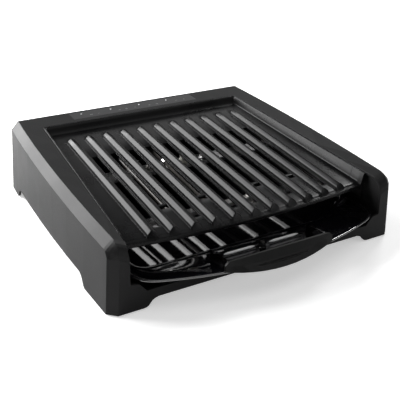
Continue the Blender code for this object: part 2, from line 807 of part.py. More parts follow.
def lens_bores(name):
    """Cutter for the four indicator lenses."""
    bm = bmesh.new()
    for i in range(LENS_COUNT):
        rim = [(lens_x(i) + a, depth_y(LENS_PLACE) + b) for a, b in
               circle(LENS_RADIUS + SEAT_GAP, SMALL_SIDES)]
        prism_along(bm, "z", rim, top_z(LENS_PLACE) - 2 * WALL, top_z(LENS_PLACE) + OVERRUN)
    return helper(name, bm)


def build_housing():
    """Moulded housing: shell, skirt, bosses and foot webs, then all openings."""
    housing = housing_body("housing", 0, "moulded_black")
    hollow = housing_body("housing_hollow", WALL, None)
    hollow.hide_render = True
    hollow.display_type = "WIRE"
    combine(housing, hollow, "DIFFERENCE")
    for added in (skirt_body(), boss_solids(), foot_webs(), board_posts()):
        combine(housing, added, "UNION")
    for cutter in (plate_opening(), tray_mouth(), front_arch(), side_arches(), foot_bores(),
                   wall_bores(), panel_recess(), lens_bores("lens_bores")):
        combine(housing, cutter, "DIFFERENCE")
    return housing


# Cooking plate

def valley_middles():
    """X of each valley between two ridges."""
    return [RIDGE_PITCH * (i + 0.5) for i in range(-RIDGES_EACH_SIDE, RIDGES_EACH_SIDE)]


def is_long_slot(index):
    """Long and short slots alternate, mirrored about the middle ridge."""
    from_side = min(index, RIDGE_COUNT - 2 - index)
    return from_side % 2 == 0


def lip_place(x):
    """Front lip of the plate: bowed, its middle furthest forward."""
    return LIP_FRONT + LIP_BOW * (x / BAND_FOOT_HALF) ** 2


def plate_columns():
    """Columns of the plate's grid: (kind, middle of the ridge or valley, offset)."""
    columns = [("rim_out", -1, 0), ("rim_in", -1, 0), ("band_foot", -1, 0),
               ("shelf", -1, 0)]
    ridge = ((-RIDGE_HALF, RIDGE_HEIGHT), (-RIDGE_SHOULDER, SHOULDER_DROP),
             (-CREST_HALF, CREST_DROP), (CREST_HALF, CREST_DROP),
             (RIDGE_SHOULDER, SHOULDER_DROP), (RIDGE_HALF, RIDGE_HEIGHT))
    for i in range(-RIDGES_EACH_SIDE, RIDGES_EACH_SIDE + 1):
        for offset, drop in ridge:
            columns.append(("ridge", RIDGE_PITCH * i + offset, drop))
        if i < RIDGES_EACH_SIDE:
            for edge in (-NOTCH_HALF, -SLOT_HALF, SLOT_HALF, NOTCH_HALF):
                columns.append(("floor", RIDGE_PITCH * (i + 0.5) + edge, RIDGE_HEIGHT))
    columns += [("shelf", 1, 0), ("band_foot", 1, 0), ("rim_in", 1, 0), ("rim_out", 1, 0)]
    return columns


def plate_rows():
    """Rows of the plate's grid, rear to front: (kind, place)."""
    rear = OPENING_REAR - SLIDE_GAP
    return [
        ("rear_out", rear), ("rear_in", rear - RIM_FLAT), ("rear_foot", REAR_WALL_FOOT),
        ("floor", RIDGE_REAR), ("full", RIDGE_REAR - RIDGE_REAR_RUN),
        ("full", SLOT_REAR), ("full", SHORT_SLOT_FRONT), ("full", NOTCH_REAR),
        ("full", NOTCH_FRONT), ("full", LONG_SLOT_FRONT), ("ramp", RAMP_RUN),
        ("end", RIDGE_END_RUN), ("foot", RIDGE_FOOT_RUN), ("groove", GROOVE_RUN), ("lip", 0),
    ]


def column_x(column, place, rear_share):
    """X of a column at a place."""
    kind, middle, offset = column
    if kind in ("ridge", "floor"):
        return middle
    half = opening_half(place) - SLIDE_GAP
    if kind == "rim_in":
        half -= RIM_FLAT
    foot = BAND_FOOT_HALF + (BAND_FOOT_HALF_REAR - BAND_FOOT_HALF) * rear_share ** 2
    if kind == "band_foot":
        half = foot
    if kind == "shelf":
        half = min(SHELF_HALF, foot - (BAND_FOOT_HALF - SHELF_HALF) * SHELF_RISE_SHARE)
    return middle * half


def end_run(column, row):
    """How far behind the lip a grid point of the front rows lies: ridge ends lean back."""
    kind, _, drop = column
    row_kind, run = row
    if row_kind == "end" and kind == "ridge":
        return RIDGE_FOOT_RUN + (run - RIDGE_FOOT_RUN) * (1 - drop / LIP_DROP)
    return run


def front_top(column, row_kind, run, crest):
    """Top of the plate in its front rows, ridges' ends and falling floor included."""
    kind, _, drop = column
    ramp = crest - RIDGE_HEIGHT - (LIP_DROP - RIDGE_HEIGHT) * (1 - run / RAMP_RUN)
    if row_kind == "groove":
        return ramp - GROOVE_DEPTH
    if row_kind in ("ramp", "end") and kind == "ridge" and drop < RIDGE_HEIGHT:
        return crest - drop
    return ramp


def plate_point(column, row):
    """Top and bottom of the plate at one grid point: (x, place, top, bottom)."""
    kind, middle, drop = column
    row_kind, place = row
    front = row_kind in FRONT_ROWS
    run = end_run(column, row)
    if front:
        place = LIP_FRONT + run
    x = column_x(column, place, place / OPENING_REAR)
    if front:
        place = lip_place(min(abs(x), BAND_FOOT_HALF)) + run
    crest = crest_z(place)
    floor = crest - RIDGE_HEIGHT
    under = floor - FLOOR_THICK
    rim = rail_inner_z(place)
    foot = crest - BAND_FOOT_DROP
    if kind in ("rim_out", "rim_in"):
        top, bottom = rim, rim - RIM_THICK
        if kind == "rim_in":
            bottom -= RIM_THICK / 2
    elif kind == "band_foot":
        top, bottom = foot, foot - FLOOR_THICK - RIM_THICK / 2
    elif front:
        top, bottom = front_top(column, row_kind, run, crest), under
    elif kind == "shelf":
        top, bottom = floor + SEAT_GAP, under
    else:
        top, bottom = crest - drop, under
    if row_kind in ("rear_out", "rear_in"):
        top = rim
        bottom = rim - RIM_THICK - (RIM_THICK / 2 if row_kind == "rear_in" else 0)
    elif row_kind in ("rear_foot", "floor") and kind in ("ridge", "floor", "shelf"):
        top, bottom = floor, under
    elif row_kind == "lip":
        bottom = crest - LIP_DROP - LIP_HEIGHT
    return x, place, top, bottom


def open_columns(columns):
    """Grid columns that the slots and the wider notches take, with their valleys."""
    slot_columns, notch_columns = {}, {}
    for index, middle in enumerate(valley_middles()):
        for i, column in enumerate(columns):
            offset = column[1] - middle
            if column[0] != "floor" or abs(offset) > NOTCH_HALF + SEAT_GAP:
                continue
            if offset < NOTCH_HALF - SEAT_GAP:
                notch_columns[i] = index
            if abs(offset + SLOT_HALF) < SEAT_GAP:
                slot_columns[i] = index
    return slot_columns, notch_columns


def build_plate():
    """Ridged plate: a grid of columns and rows with the slots left open."""
    columns, rows = plate_columns(), plate_rows()
    bm = bmesh.new()
    top, bottom = [], []
    for row in rows:
        upper, lower = [], []
        for column in columns:
            x, place, high, low = plate_point(column, row)
            upper.append(bm.verts.new((x, depth_y(place), high)))
            lower.append(bm.verts.new((x, depth_y(place), low)))
        top.append(upper)
        bottom.append(lower)

    slot_columns, notch_columns = open_columns(columns)
    places = [row[1] if row[0] == "full" else None for row in rows]

    def is_open(i, j):
        if i not in notch_columns or places[j] is None or places[j + 1] is None:
            return False
        near, far = places[j + 1], places[j]
        is_long = is_long_slot(notch_columns[i])
        if i in slot_columns and far <= SLOT_REAR:
            if near >= (LONG_SLOT_FRONT if is_long else SHORT_SLOT_FRONT):
                return True
        return not is_long and far <= NOTCH_REAR and near >= NOTCH_FRONT

    last_row, last_column = len(rows) - 1, len(columns) - 1
    solid = {(i, j): not is_open(i, j) for i in range(last_column) for j in range(last_row)}
    for (i, j), filled in solid.items():
        if not filled:
            continue
        a, b, c, d = (i, j), (i + 1, j), (i + 1, j + 1), (i, j + 1)
        bm.faces.new([top[n][m] for m, n in (a, b, c, d)])
        bm.faces.new([bottom[n][m] for m, n in (d, c, b, a)])
        for (p, q), neighbour in (((a, b), (i, j - 1)), ((b, c), (i + 1, j)),
                                  ((c, d), (i, j + 1)), ((d, a), (i - 1, j))):
            if not solid.get(neighbour, False):
                bm.faces.new((top[q[1]][q[0]], top[p[1]][p[0]],
                              bottom[p[1]][p[0]], bottom[q[1]][q[0]]))
    bmesh.ops.remove_doubles(bm, verts=bm.verts, dist=SEAT_GAP / 100)
    bmesh.ops.dissolve_limit(bm, angle_limit=FLAT_ANGLE, verts=bm.verts, edges=bm.edges)
    bmesh.ops.triangulate(bm, faces=bm.faces)
    return make_object("cooking_plate", bm, "cast_coated", 26)


# Drip tray

def tray_outline(half, front, rear, corner, rear_corner):
    """Tray outline seen from above; front is a function of x."""
    points = []
    for i in range(ARC_STEPS - 1):
        a = pi / 2 * i / (ARC_STEPS - 2)
        points.append((-half + rear_corner * (1 - sin(a)), rear - rear_corner * (1 - cos(a))))
    start = front(half) + corner
    for share in SIDE_STEP_SHARES:
        d = rear - rear_corner + (start - rear + rear_corner) * share
        points.append((-half, d))
    inner = half - corner
    for i in range(ARC_STEPS + 1):
        t = i / ARC_STEPS
        a, b, c = (1 - t) ** 2, 2 * t * (1 - t), t * t
        x = -half * (a + b) - inner * c
        d = start * a + front(half) * b + front(inner) * c
        points.append((x, d))
    for i in range(1, BOW_STEPS):
        x = -inner + 2 * inner * i / BOW_STEPS
        points.append((x, front(x)))
    mirrored = [(-x, d) for x, d in reversed(points)]
    middle = [p for p in mirrored if not any(abs(p[0] - q[0]) < SEAT_GAP
                                            and abs(p[1] - q[1]) < SEAT_GAP for q in points)]
    return points + middle


def straight_front(place):
    """Front edge that keeps the same place at every x."""
    return lambda x: place


def flange_front(x):
    """Front of the tray's ramp, just behind the bead."""
    return rim_front(x) + FLANGE_FRONT


def mix(a, b, share):
    """Blend two rings."""
    return [(p[0] + (q[0] - p[0]) * share, p[1] + (q[1] - p[1]) * share)
            for p, q in zip(a, b)]


def tray_surface_z(x, place):
    """Height of the tray's front ramp, used to seat the bracket on it."""
    near = FLOOR_FRONT - FLOOR_FILLET
    share = (near - place) / (near - flange_front(x))
    low = TRAY_FLOOR_Z + FLOOR_FILLET * RAMP_MID_SHARE / 2
    middle = low + (BEAD_CENTRE_Z - low) * RAMP_MID_SHARE - RAMP_SAG
    if share < RAMP_MID_SHARE:
        return low + (middle - low) * share / RAMP_MID_SHARE
    past = (share - RAMP_MID_SHARE) / (1 - RAMP_MID_SHARE)
    return middle + (BEAD_CENTRE_Z - middle) * past


def build_tray():
    """Pressed tray with a rolled rim."""
    inner = tray_outline(FLOOR_HALF - FLOOR_FILLET, straight_front(FLOOR_FRONT),
                         TRAY_REAR - FLOOR_REAR_RUN - FLOOR_FILLET, FLOOR_CORNER, REAR_CORNER)
    foot = tray_outline(FLOOR_HALF, straight_front(FLOOR_FRONT - FLOOR_FILLET),
                        TRAY_REAR - FLOOR_REAR_RUN, FLOOR_CORNER, REAR_CORNER)
    flange = tray_outline(FLANGE_HALF, flange_front, TRAY_REAR - FLANGE_FRONT - BEAD_RADIUS,
                          RIM_CORNER, REAR_CORNER)
    middle = mix(foot, flange, RAMP_MID_SHARE)

    def bead(out):
        return tray_outline(TRAY_HALF - BEAD_RADIUS + out,
                            lambda x: rim_front(x) + BEAD_RADIUS - out,
                            TRAY_REAR - BEAD_RADIUS + out, RIM_CORNER, REAR_CORNER)

    foot_z = TRAY_FLOOR_Z + FLOOR_FILLET * RAMP_MID_SHARE / 2
    middle_z = foot_z + (BEAD_CENTRE_Z - foot_z) * RAMP_MID_SHARE - RAMP_SAG
    slanted = TRAY_SHEET * sqrt(2)
    rings = [(inner, TRAY_FLOOR_Z), (foot, foot_z), (middle, middle_z),
             (flange, BEAD_CENTRE_Z)]
    for degrees in (150, 110, 70, 30, -10, -50, -90):
        a = radians(degrees)
        rings.append((bead(BEAD_RADIUS * cos(a)), BEAD_CENTRE_Z + BEAD_RADIUS * sin(a)))
    rings += [(flange, BEAD_CENTRE_Z - TRAY_SHEET), (middle, middle_z - slanted),
              (foot, foot_z - slanted), (inner, TRAY_FLOOR_Z - TRAY_SHEET)]
    solid = [[(x, depth_y(d), z) for x, d in outline] for outline, z in rings]
    tray = lofted("drip_tray", solid, "tray_gloss")
    bm = bmesh.new()
    rim = [(a, depth_y(DAM_PLACE - DAM_FOOT) + b) for a, b in
           circle(SCREW_SHANK + HOLE_GAP, SMALL_SIDES)]
    prism_along(bm, "z", rim, TRAY_FLOOR_Z - 2 * TRAY_SHEET, BEAD_CENTRE_Z)
    combine(tray, helper("tray_screw_bore", bm), "DIFFERENCE")
    return tray


# Tray handle

def handle_screw_x():
    """Screws that hold the handle to its bracket, left and right of the middle."""
    return (BAR_INNER + BAR_OUTER) / 2 + BAR_INNER


def handle_screw_z():
    """Height of the handle's screws."""
    return BRACKET_UPSTAND_Z - SCREW_HEAD - SEAT_GAP


def build_handle():
    """Crescent finger pull standing on the tray's rim."""
    over = BEAD_CENTRE_Z + BEAD_RADIUS + SEAT_GAP
    rings = []
    for share in HANDLE_STATION_SHARES:
        x = HANDLE_HALF * share
        swell = 1 - share * share
        rim = rim_front(x)
        top_share = min(1.0, (1 - abs(share)) * HANDLE_HALF / (HANDLE_HALF - HANDLE_TOP_HALF))
        top = HANDLE_TOP_Z - (1 - top_share) * HANDLE_LIP
        low = over - HANDLE_DROP * swell
        front = rim - SEAT_GAP - HANDLE_THICK / 2 - (HANDLE_LIP - HANDLE_THICK / 2
                                                     - SEAT_GAP) * swell
        back = -HANDLE_TOP_FRONT + HANDLE_THICK
        mid_d = (front - HANDLE_TOP_FRONT) / 2 + HANDLE_HOLLOW * swell
        mid_z = (low + top) / 2
        rings.append([(x, depth_y(d), z) for d, z in (
            (-HANDLE_TOP_FRONT, top),
            (mid_d, mid_z),
            (front, low + SEAT_GAP),
            (front + HANDLE_THICK / 4, low),
            (rim - SEAT_GAP, low),
            (rim - SEAT_GAP, over),
            (back, over),
            (back, top),
        )])
    handle = lofted("tray_handle", rings, "handle_black")
    bm = bmesh.new()
    for side in (-1, 1):
        rim = [(side * handle_screw_x() + a, handle_screw_z() + b) for a, b in
               circle(SCREW_SHANK + HOLE_GAP, SMALL_SIDES)]
        near = -HANDLE_TOP_FRONT + HANDLE_THICK
        prism_along(bm, "y", rim, depth_y(near - SCREW_LENGTH / 2 - HOLE_GAP),
                    depth_y(near + OVERRUN))
    combine(handle, helper("handle_bores", bm), "DIFFERENCE")
    return handle


def bracket_stations():
    """X of the bracket's cross-sections and what each one carries."""
    inner = [0, BAR_INNER / 2, BAR_INNER, (BAR_INNER + BAR_OUTER) / 2, BAR_OUTER,
             BAR_OUTER + DAM_FOOT, CHEEK_INNER, CHEEK_INNER + DAM_HALF,
             HANDLE_TOP_HALF]
    return [-x for x in reversed(inner[1:])] + inner


def build_bracket():
    """Bracket behind the handle: upstand, two raised bars, a cheek at each end."""
    front = -HANDLE_TOP_FRONT + HANDLE_THICK + SEAT_GAP
    rings = []
    for x in bracket_stations():
        away = abs(x)
        cheek = away > CHEEK_INNER
        places = (front, front + BRACKET_SHEET, DAM_PLACE - DAM_FOOT,
                  DAM_PLACE - DAM_HALF, DAM_PLACE + DAM_HALF, DAM_PLACE + DAM_FOOT)
        under = [tray_surface_z(x, d) + SEAT_GAP + SEAT_GAP for d in places]
        flat = [z + BRACKET_SHEET for z in under]
        bar = BAR_INNER <= away <= BAR_OUTER
        dam = DAM_TOP_Z if bar else flat[3]
        if cheek:
            ring = [(places[0], under[0]), (places[0], CHEEK_FRONT_Z),
                    (places[1], CHEEK_FRONT_Z), (places[2], CHEEK_REAR_Z),
                    (places[3], CHEEK_REAR_Z), (places[4], CHEEK_REAR_Z - DAM_HALF),
                    (places[5], flat[5]), (places[5], under[5]), (places[2], under[2]),
                    (places[1], under[1])]
        else:
            ring = [(places[0], under[0]), (places[0], BRACKET_UPSTAND_Z),
                    (places[1], BRACKET_UPSTAND_Z), (places[1], flat[1]),
                    (places[2], flat[2]), (places[3], dam), (places[4], dam),
                    (places[5], flat[5]), (places[5], under[5]), (places[2], under[2])]
        rings.append([(x, depth_y(d), z) for d, z in ring])
    bracket = lofted("handle_bracket", rings, "bracket_gloss", triangles=True)
    place = DAM_PLACE - DAM_FOOT
    bm = bmesh.new()
    rim = [(a, depth_y(place) + b) for a, b in circle(BOSS_HALF, ROUND_SIDES)]
    low = tray_surface_z(0, place + BOSS_HALF) + 2 * SEAT_GAP + BRACKET_SHEET / 2
    prism_along(bm, "z", rim, low, BOSS_TOP_Z)
    combine(bracket, helper("bracket_boss", bm), "UNION")
    bm = bmesh.new()
    for side in (-1, 1):
        rim = [(side * handle_screw_x() + a, handle_screw_z() + b) for a, b in
               circle(SCREW_SHANK + HOLE_GAP, SMALL_SIDES)]
        prism_along(bm, "y", rim, depth_y(front - SKIRT), depth_y(front + 2 * SKIRT))
    rim = [(a, depth_y(DAM_PLACE - DAM_FOOT) + b) for a, b in
           circle(SCREW_SHANK + HOLE_GAP, SMALL_SIDES)]
    prism_along(bm, "z", rim, TRAY_FLOOR_Z, BEAD_CENTRE_Z + OVERRUN)
    combine(bracket, helper("bracket_bores", bm), "DIFFERENCE")
    return bracket


# Screws

def screw(name, matrix, length=SCREW_LENGTH):
    """Pan-head screw: head above its origin, shank below it."""
    bm = bmesh.new()
    head = SCREW_HEAD_THICK
    turned(bm, [(0, -length), (SCREW_SHANK, -length), (SCREW_SHANK, 0), (SCREW_HEAD, 0),
                (SCREW_HEAD, head / 2), (SCREW_HEAD * HEAD_CROWN_SHARE, head), (0, head)],
           SCREW_SIDES)
    obj = make_object(name, bm, "steel")
    obj.matrix_world = matrix
    return obj


def build_screws():
    """Every screw, each at its own place."""
    for i, (x, d) in enumerate(boss_places()):
        low = SKIRT_BOTTOM - SEAT_GAP - BASE_SHEET - SEAT_GAP
        turn = Matrix.Rotation(pi, 4, "X")
        screw(f"base_screw_{i + 1}", matrix_at((x, depth_y(d), low), turn))

    shield, runner = side_screw_places()
    for name, places, sheet in (("shield_screw", shield, SHIELD_SHEET),
                                ("runner_screw", runner, RUNNER_SHEET)):
        count = 0
        for d, z in places:
            for side in (-1, 1):
                count += 1
                x = side * (BAY_HALF - SEAT_GAP - sheet - SEAT_GAP)
                turn = Matrix.Rotation(-side * pi / 2, 4, "Y")
                place = matrix_at((x, depth_y(d), z), turn)
                screw(f"{name}_{count}", place, SCREW_LENGTH - SKIRT / 2)

    for name, side in (("handle_screw_left", -1), ("handle_screw_right", 1)):
        front = -HANDLE_TOP_FRONT + HANDLE_THICK + SEAT_GAP
        y = depth_y(front + BRACKET_SHEET + SEAT_GAP)
        turn = Matrix.Rotation(-pi / 2, 4, "X")
        place = (side * handle_screw_x(), y, handle_screw_z())
        screw(name, matrix_at(place, turn), BRACKET_SHEET + SCREW_LENGTH / 2)

    place = DAM_PLACE - DAM_FOOT
    z = BOSS_TOP_Z + SEAT_GAP
    length = z - tray_surface_z(0, place) + 2 * TRAY_SHEET
    screw("bracket_screw", matrix_at((0, depth_y(place), z)), length)


# Tray runners, heat shield, base plate and feet

def build_runners():
    """Left and right ledges that the tray's rim slides on."""
    out = BAY_HALF - SEAT_GAP
    top = runner_top_z()
    for name, side in (("runner_left", -1), ("runner_right", 1)):
        outline = [(side * out, top), (side * (out - RUNNER_LEG), top),
                   (side * (out - RUNNER_LEG), top - RUNNER_SHEET),
                   (side * (out - RUNNER_SHEET), top - RUNNER_SHEET),
                   (side * (out - RUNNER_SHEET), top - RUNNER_DROP),
                   (side * out, top - RUNNER_DROP)]
        bm = bmesh.new()
        prism_along(bm, "y", outline, depth_y(RUNNER_FRONT), depth_y(RUNNER_REAR))
        runner = make_object(name, bm, "black_steel")
        bm = bmesh.new()
        for d, z in side_screw_places()[1]:
            rim = [(depth_y(d) + a, z + b) for a, b in
                   circle(SCREW_SHANK + HOLE_GAP, SMALL_SIDES)]
            near, far = side * (out - SKIRT), side * (out + SKIRT)
            prism_along(bm, "x", rim, min(near, far), max(near, far))
        combine(runner, helper(name + "_bores", bm), "DIFFERENCE")


def build_shield():
    """Bent steel shield on three sides of the bay; its shelf carries the plate."""
    out, rear = BAY_HALF - SEAT_GAP, OPENING_REAR + SKIRT_LAP - SEAT_GAP

    def ring(side, place, turn):
        points = []
        for inward, level in ((0, "low"), (0, "high"), (SHIELD_SHELF, "high"),
                              (SHIELD_SHELF, "under"), (SHIELD_SHEET, "under"),
                              (SHIELD_SHEET, "low")):
            d = rear - inward if turn else place
            shelf = plate_under_z(d) - SEAT_GAP
            z = {"low": SHIELD_LOW_Z, "high": shelf, "under": shelf - SHIELD_SHEET}[level]
            points.append((side * (out - inward), depth_y(d), z))
        return points

    rings = [ring(-1, SHIELD_FRONT, False), ring(-1, rear, True),
             ring(1, rear, True), ring(1, SHIELD_FRONT, False)]
    shield = lofted("heat_shield", rings, "black_steel")
    bm = bmesh.new()
    for side in (-1, 1):
        for d, z in side_screw_places()[0]:
            rim = [(depth_y(d) + a, z + b) for a, b in
                   circle(SCREW_SHANK + HOLE_GAP, SMALL_SIDES)]
            near, far = side * (out - SKIRT), side * (out + SKIRT)
            prism_along(bm, "x", rim, min(near, far), max(near, far))
    for rim in element_end_rims(ELEMENT_RADIUS + SLIDE_GAP):
        prism_along(bm, "y", rim, depth_y(rear - SKIRT), depth_y(rear + SKIRT))
    combine(shield, helper("shield_bores", bm), "DIFFERENCE")
    return shield


def build_base():
    """Base plate under the bay, with vents under the electronics."""
    top = SKIRT_BOTTOM - SEAT_GAP
    low_y = depth_y(WALL + SEAT_GAP)
    high_y = depth_y(DEPTH) - REAR_DRAFT_SHARE * top - WALL - SEAT_GAP
    right = []
    for i in range(BASE_STEPS + 1):
        y = low_y + BASE_CORNER + (high_y - low_y - 2 * BASE_CORNER) * i / BASE_STEPS
        place = y - FRONT_Y
        x = half_width(place) - SIDE_DRAFT_SHARE * top - WALL - SLIDE_GAP
        right.append((x, y))
    first, last = right[0], right[-1]
    right = [(first[0] - BASE_CORNER, low_y)] + right + [(last[0] - BASE_CORNER, high_y)]
    outline = right + [(-x, y) for x, y in reversed(right)]
    bm = bmesh.new()
    prism_along(bm, "z", outline, top - BASE_SHEET, top)
    base = make_object("base_plate", bm, "black_steel")
    bm = bmesh.new()
    for i in range(VENT_COUNT):
        x = VENT_PITCH * (i - (VENT_COUNT - 1) / 2)
        y = depth_y((OPENING_REAR + SKIRT_LAP + SKIRT + DEPTH) / 2) - VENT_WIDTH
        ends = [(x - VENT_WIDTH / 2, y - VENT_LENGTH / 2), (x + VENT_WIDTH / 2,
                y - VENT_LENGTH / 2), (x + VENT_WIDTH / 2, y + VENT_LENGTH / 2),
                (x - VENT_WIDTH / 2, y + VENT_LENGTH / 2)]
        prism_along(bm, "z", ends, 0, top + SKIRT_BOTTOM)
    for x, d in boss_places():
        rim = [(x + a, depth_y(d) + b) for a, b in circle(SCREW_SHANK + HOLE_GAP, SMALL_SIDES)]
        prism_along(bm, "z", rim, 0, top + SKIRT_BOTTOM)
    combine(base, helper("base_cuts", bm), "DIFFERENCE")
    return base


def build_pads():
    """Four rubber pads plugged into the foot webs."""
    disc = GROUND_GAP - SEAT_GAP
    names = ("foot_front_left", "foot_rear_left", "foot_front_right", "foot_rear_right")
    for name, (x, d) in zip(names, pad_places()):
        bm = bmesh.new()
        turned(bm, [(0, 0), (PAD_RADIUS - SEAT_GAP, 0), (PAD_RADIUS, disc / 2),
                    (PAD_RADIUS, disc), (PAD_HUB, disc), (PAD_HUB, disc + PAD_HUB_HEIGHT),
                    (0, disc + PAD_HUB_HEIGHT)], SMALL_SIDES)
        pad = make_object(name, bm, "rubber")
        pad.location = (x, depth_y(d), 0)


# Heating element, bars, clips, thermostat and fuse

def element_path():
    """Middle line of the element, seen from above as (x, place)."""
    inner, middle, outer = leg_x(0), leg_x(1), leg_x(2)
    level = OPENING_REAR + SKIRT_LAP - 2 * SKIRT
    rear, corner = ELEMENT_OUTER_REAR, ELEMENT_CORNER
    path = [(-inner, ELEMENT_END), (-inner, level), (-inner, rear + corner)]

    def arc(centre, radius, start, end):
        for i in range(1, ARC_STEPS + 1):
            a = radians(start + (end - start) * i / ARC_STEPS)
            path.append((centre[0] + radius * cos(a), centre[1] + radius * sin(a)))

    arc((-inner - corner, rear + corner), corner, 0, -90)
    path.append((corner - outer, rear))
    arc((corner - outer, rear - corner), corner, 90, 180)
    path.append((-outer, ELEMENT_FRONT))
    arc((-(middle + outer) / 2, ELEMENT_FRONT), (outer - middle) / 2, 180, 360)
    path.append((-middle, ELEMENT_INNER_REAR))
    arc((-(inner + middle) / 2, ELEMENT_INNER_REAR), (middle - inner) / 2, 180, 0)
    path.append((-inner, ELEMENT_FRONT))
    arc((0, ELEMENT_FRONT), inner, 180, 360)
    half = [p for p in path if p[0] <= SEAT_GAP]
    centre = [p for p in half if abs(p[0]) <= SEAT_GAP]
    side = [p for p in half if p[0] < -SEAT_GAP]
    return side + centre + [(-x, d) for x, d in reversed(side)]


def build_element():
    """Tubular element: one unbroken loop under the ridges."""
    rear = OPENING_REAR + SKIRT_LAP
    level = rear - 2 * SKIRT - SEAT_GAP
    path = [(x, depth_y(d), element_z(rear if d > level else d)) for x, d in element_path()]
    bm = bmesh.new()
    tube(bm, path, ELEMENT_RADIUS, 8)
    return make_object("heating_element", bm, "element_sheath")


def tilt_at(x, place, z):
    """Placement parallel to the sloping plate."""
    return matrix_at((x, depth_y(place), z), Matrix.Rotation(PLATE_TILT, 4, "X"))


def build_bars():
    """Two channel bars across the bay that carry the element."""
    half = BAY_HALF - SEAT_GAP - SHIELD_SHEET - SEAT_GAP
    for name, place, width in (("element_bar_front", BAR_FRONT_PLACE, BAR_FRONT_WIDTH),
                               ("element_bar_rear", BAR_REAR_PLACE, BAR_REAR_WIDTH)):
        w, t, f = width / 2, BAR_SHEET, BAR_FLANGE
        outline = [(-w, 0), (w, 0), (w, -f), (w - t, -f), (w - t, -t), (t - w, -t),
                   (t - w, -f), (-w, -f)]
        bm = bmesh.new()
        prism_along(bm, "x", outline, -half, half)
        bmesh.ops.transform(bm, matrix=tilt_at(0, place, bar_z(place)), verts=bm.verts)
        make_object(name, bm, "steel")


def build_clips():
    """Saddle clips that hold the element down on its bars."""
    inner = ELEMENT_RADIUS + SEAT_GAP
    outer = inner + CLIP_SHEET
    centre = ELEMENT_RADIUS + SEAT_GAP
    base = SEAT_GAP
    arch = [(outer * cos(radians(a)), centre + outer * sin(radians(a)))
            for a in range(0, 181, 30)]
    hollow = [(inner * cos(radians(a)), centre + inner * sin(radians(a)))
              for a in range(180, -1, -30)]
    outline = ([(outer + CLIP_FOOT, base), (outer + CLIP_FOOT, base + CLIP_SHEET),
                (outer, base + CLIP_SHEET)] + arch
               + [(-outer, base + CLIP_SHEET), (-outer - CLIP_FOOT, base + CLIP_SHEET),
                  (-outer - CLIP_FOOT, base), (-inner, base)] + hollow + [(inner, base)])
    count = 0
    for place in (BAR_FRONT_PLACE, BAR_REAR_PLACE):
        for side in (-1, 1):
            count += 1
            bm = bmesh.new()
            prism_along(bm, "y", outline, -CLIP_WIDTH / 2, CLIP_WIDTH / 2)
            clip = make_object(f"element_clip_{count}", bm, "steel")
            clip.matrix_world = tilt_at(side * leg_x(0), place, bar_z(place))


def build_sensors():
    """Thermostat and thermal fuse on the rear bar."""
    height = 2 * ELEMENT_RADIUS + ELEMENT_GAP - SEAT_GAP - SEAT_GAP
    bm = bmesh.new()
    low = SEAT_GAP
    turned(bm, [(0, low), (STAT_FLANGE, low), (STAT_FLANGE, low + STAT_FLANGE_THICK),
                (STAT_RADIUS, low + STAT_FLANGE_THICK), (STAT_RADIUS, height - STAT_FLANGE_THICK),
                (STAT_RADIUS - STAT_FLANGE_THICK / 2, height), (0, height)], ROUND_SIDES,
           tilt_at(0, BAR_REAR_PLACE, bar_z(BAR_REAR_PLACE)))
    make_object("thermostat", bm, "ceramic")
    bm = bmesh.new()
    taper = FUSE_RADIUS / 2
    half = FUSE_LENGTH / 2
    lie = Matrix.Translation((0, 0, FUSE_RADIUS + SEAT_GAP)) @ Matrix.Rotation(pi / 2, 4, "Y")
    turned(bm, [(0, -half), (taper, -half), (FUSE_RADIUS, -half + taper),
                (FUSE_RADIUS, half - taper), (taper, half), (0, half)], SMALL_SIDES,
           tilt_at(LEG_SHIFT - (leg_x(0) + leg_x(1)) / 2, BAR_REAR_PLACE,
                   bar_z(BAR_REAR_PLACE)) @ lie)
    make_object("thermal_fuse", bm, "ceramic")


# Electronics

def board_z():
    """Top of the control board."""
    return top_z(BOARD_PLACE) - BOARD_DROP


def board_under_z():
    """Just below the control board."""
    return board_z() - BOARD_THICK - SEAT_GAP


def build_panel():
    """Touch panel with its four lenses."""
    bm = bmesh.new()
    half_x, half_y = PANEL_LENGTH / 2, PANEL_WIDTH / 2
    box(bm, (-half_x, -half_y, -PANEL_THICK), (half_x, half_y, 0))
    bmesh.ops.transform(bm, matrix=panel_matrix(PANEL_PLACE), verts=bm.verts)
    panel = make_object("control_panel", bm, "panel_film")
    combine(panel, lens_bores("panel_bores"), "DIFFERENCE")
    for i in range(LENS_COUNT):
        bm = bmesh.new()
        rim = [(lens_x(i) + a, depth_y(LENS_PLACE) + b) for a, b in
               circle(LENS_RADIUS, SMALL_SIDES)]
        prism_along(bm, "z", rim, board_z() + SEAT_GAP, top_z(LENS_PLACE) + SEAT_GAP)
        make_object(f"indicator_lens_{i + 1}", bm, "lens_clear")


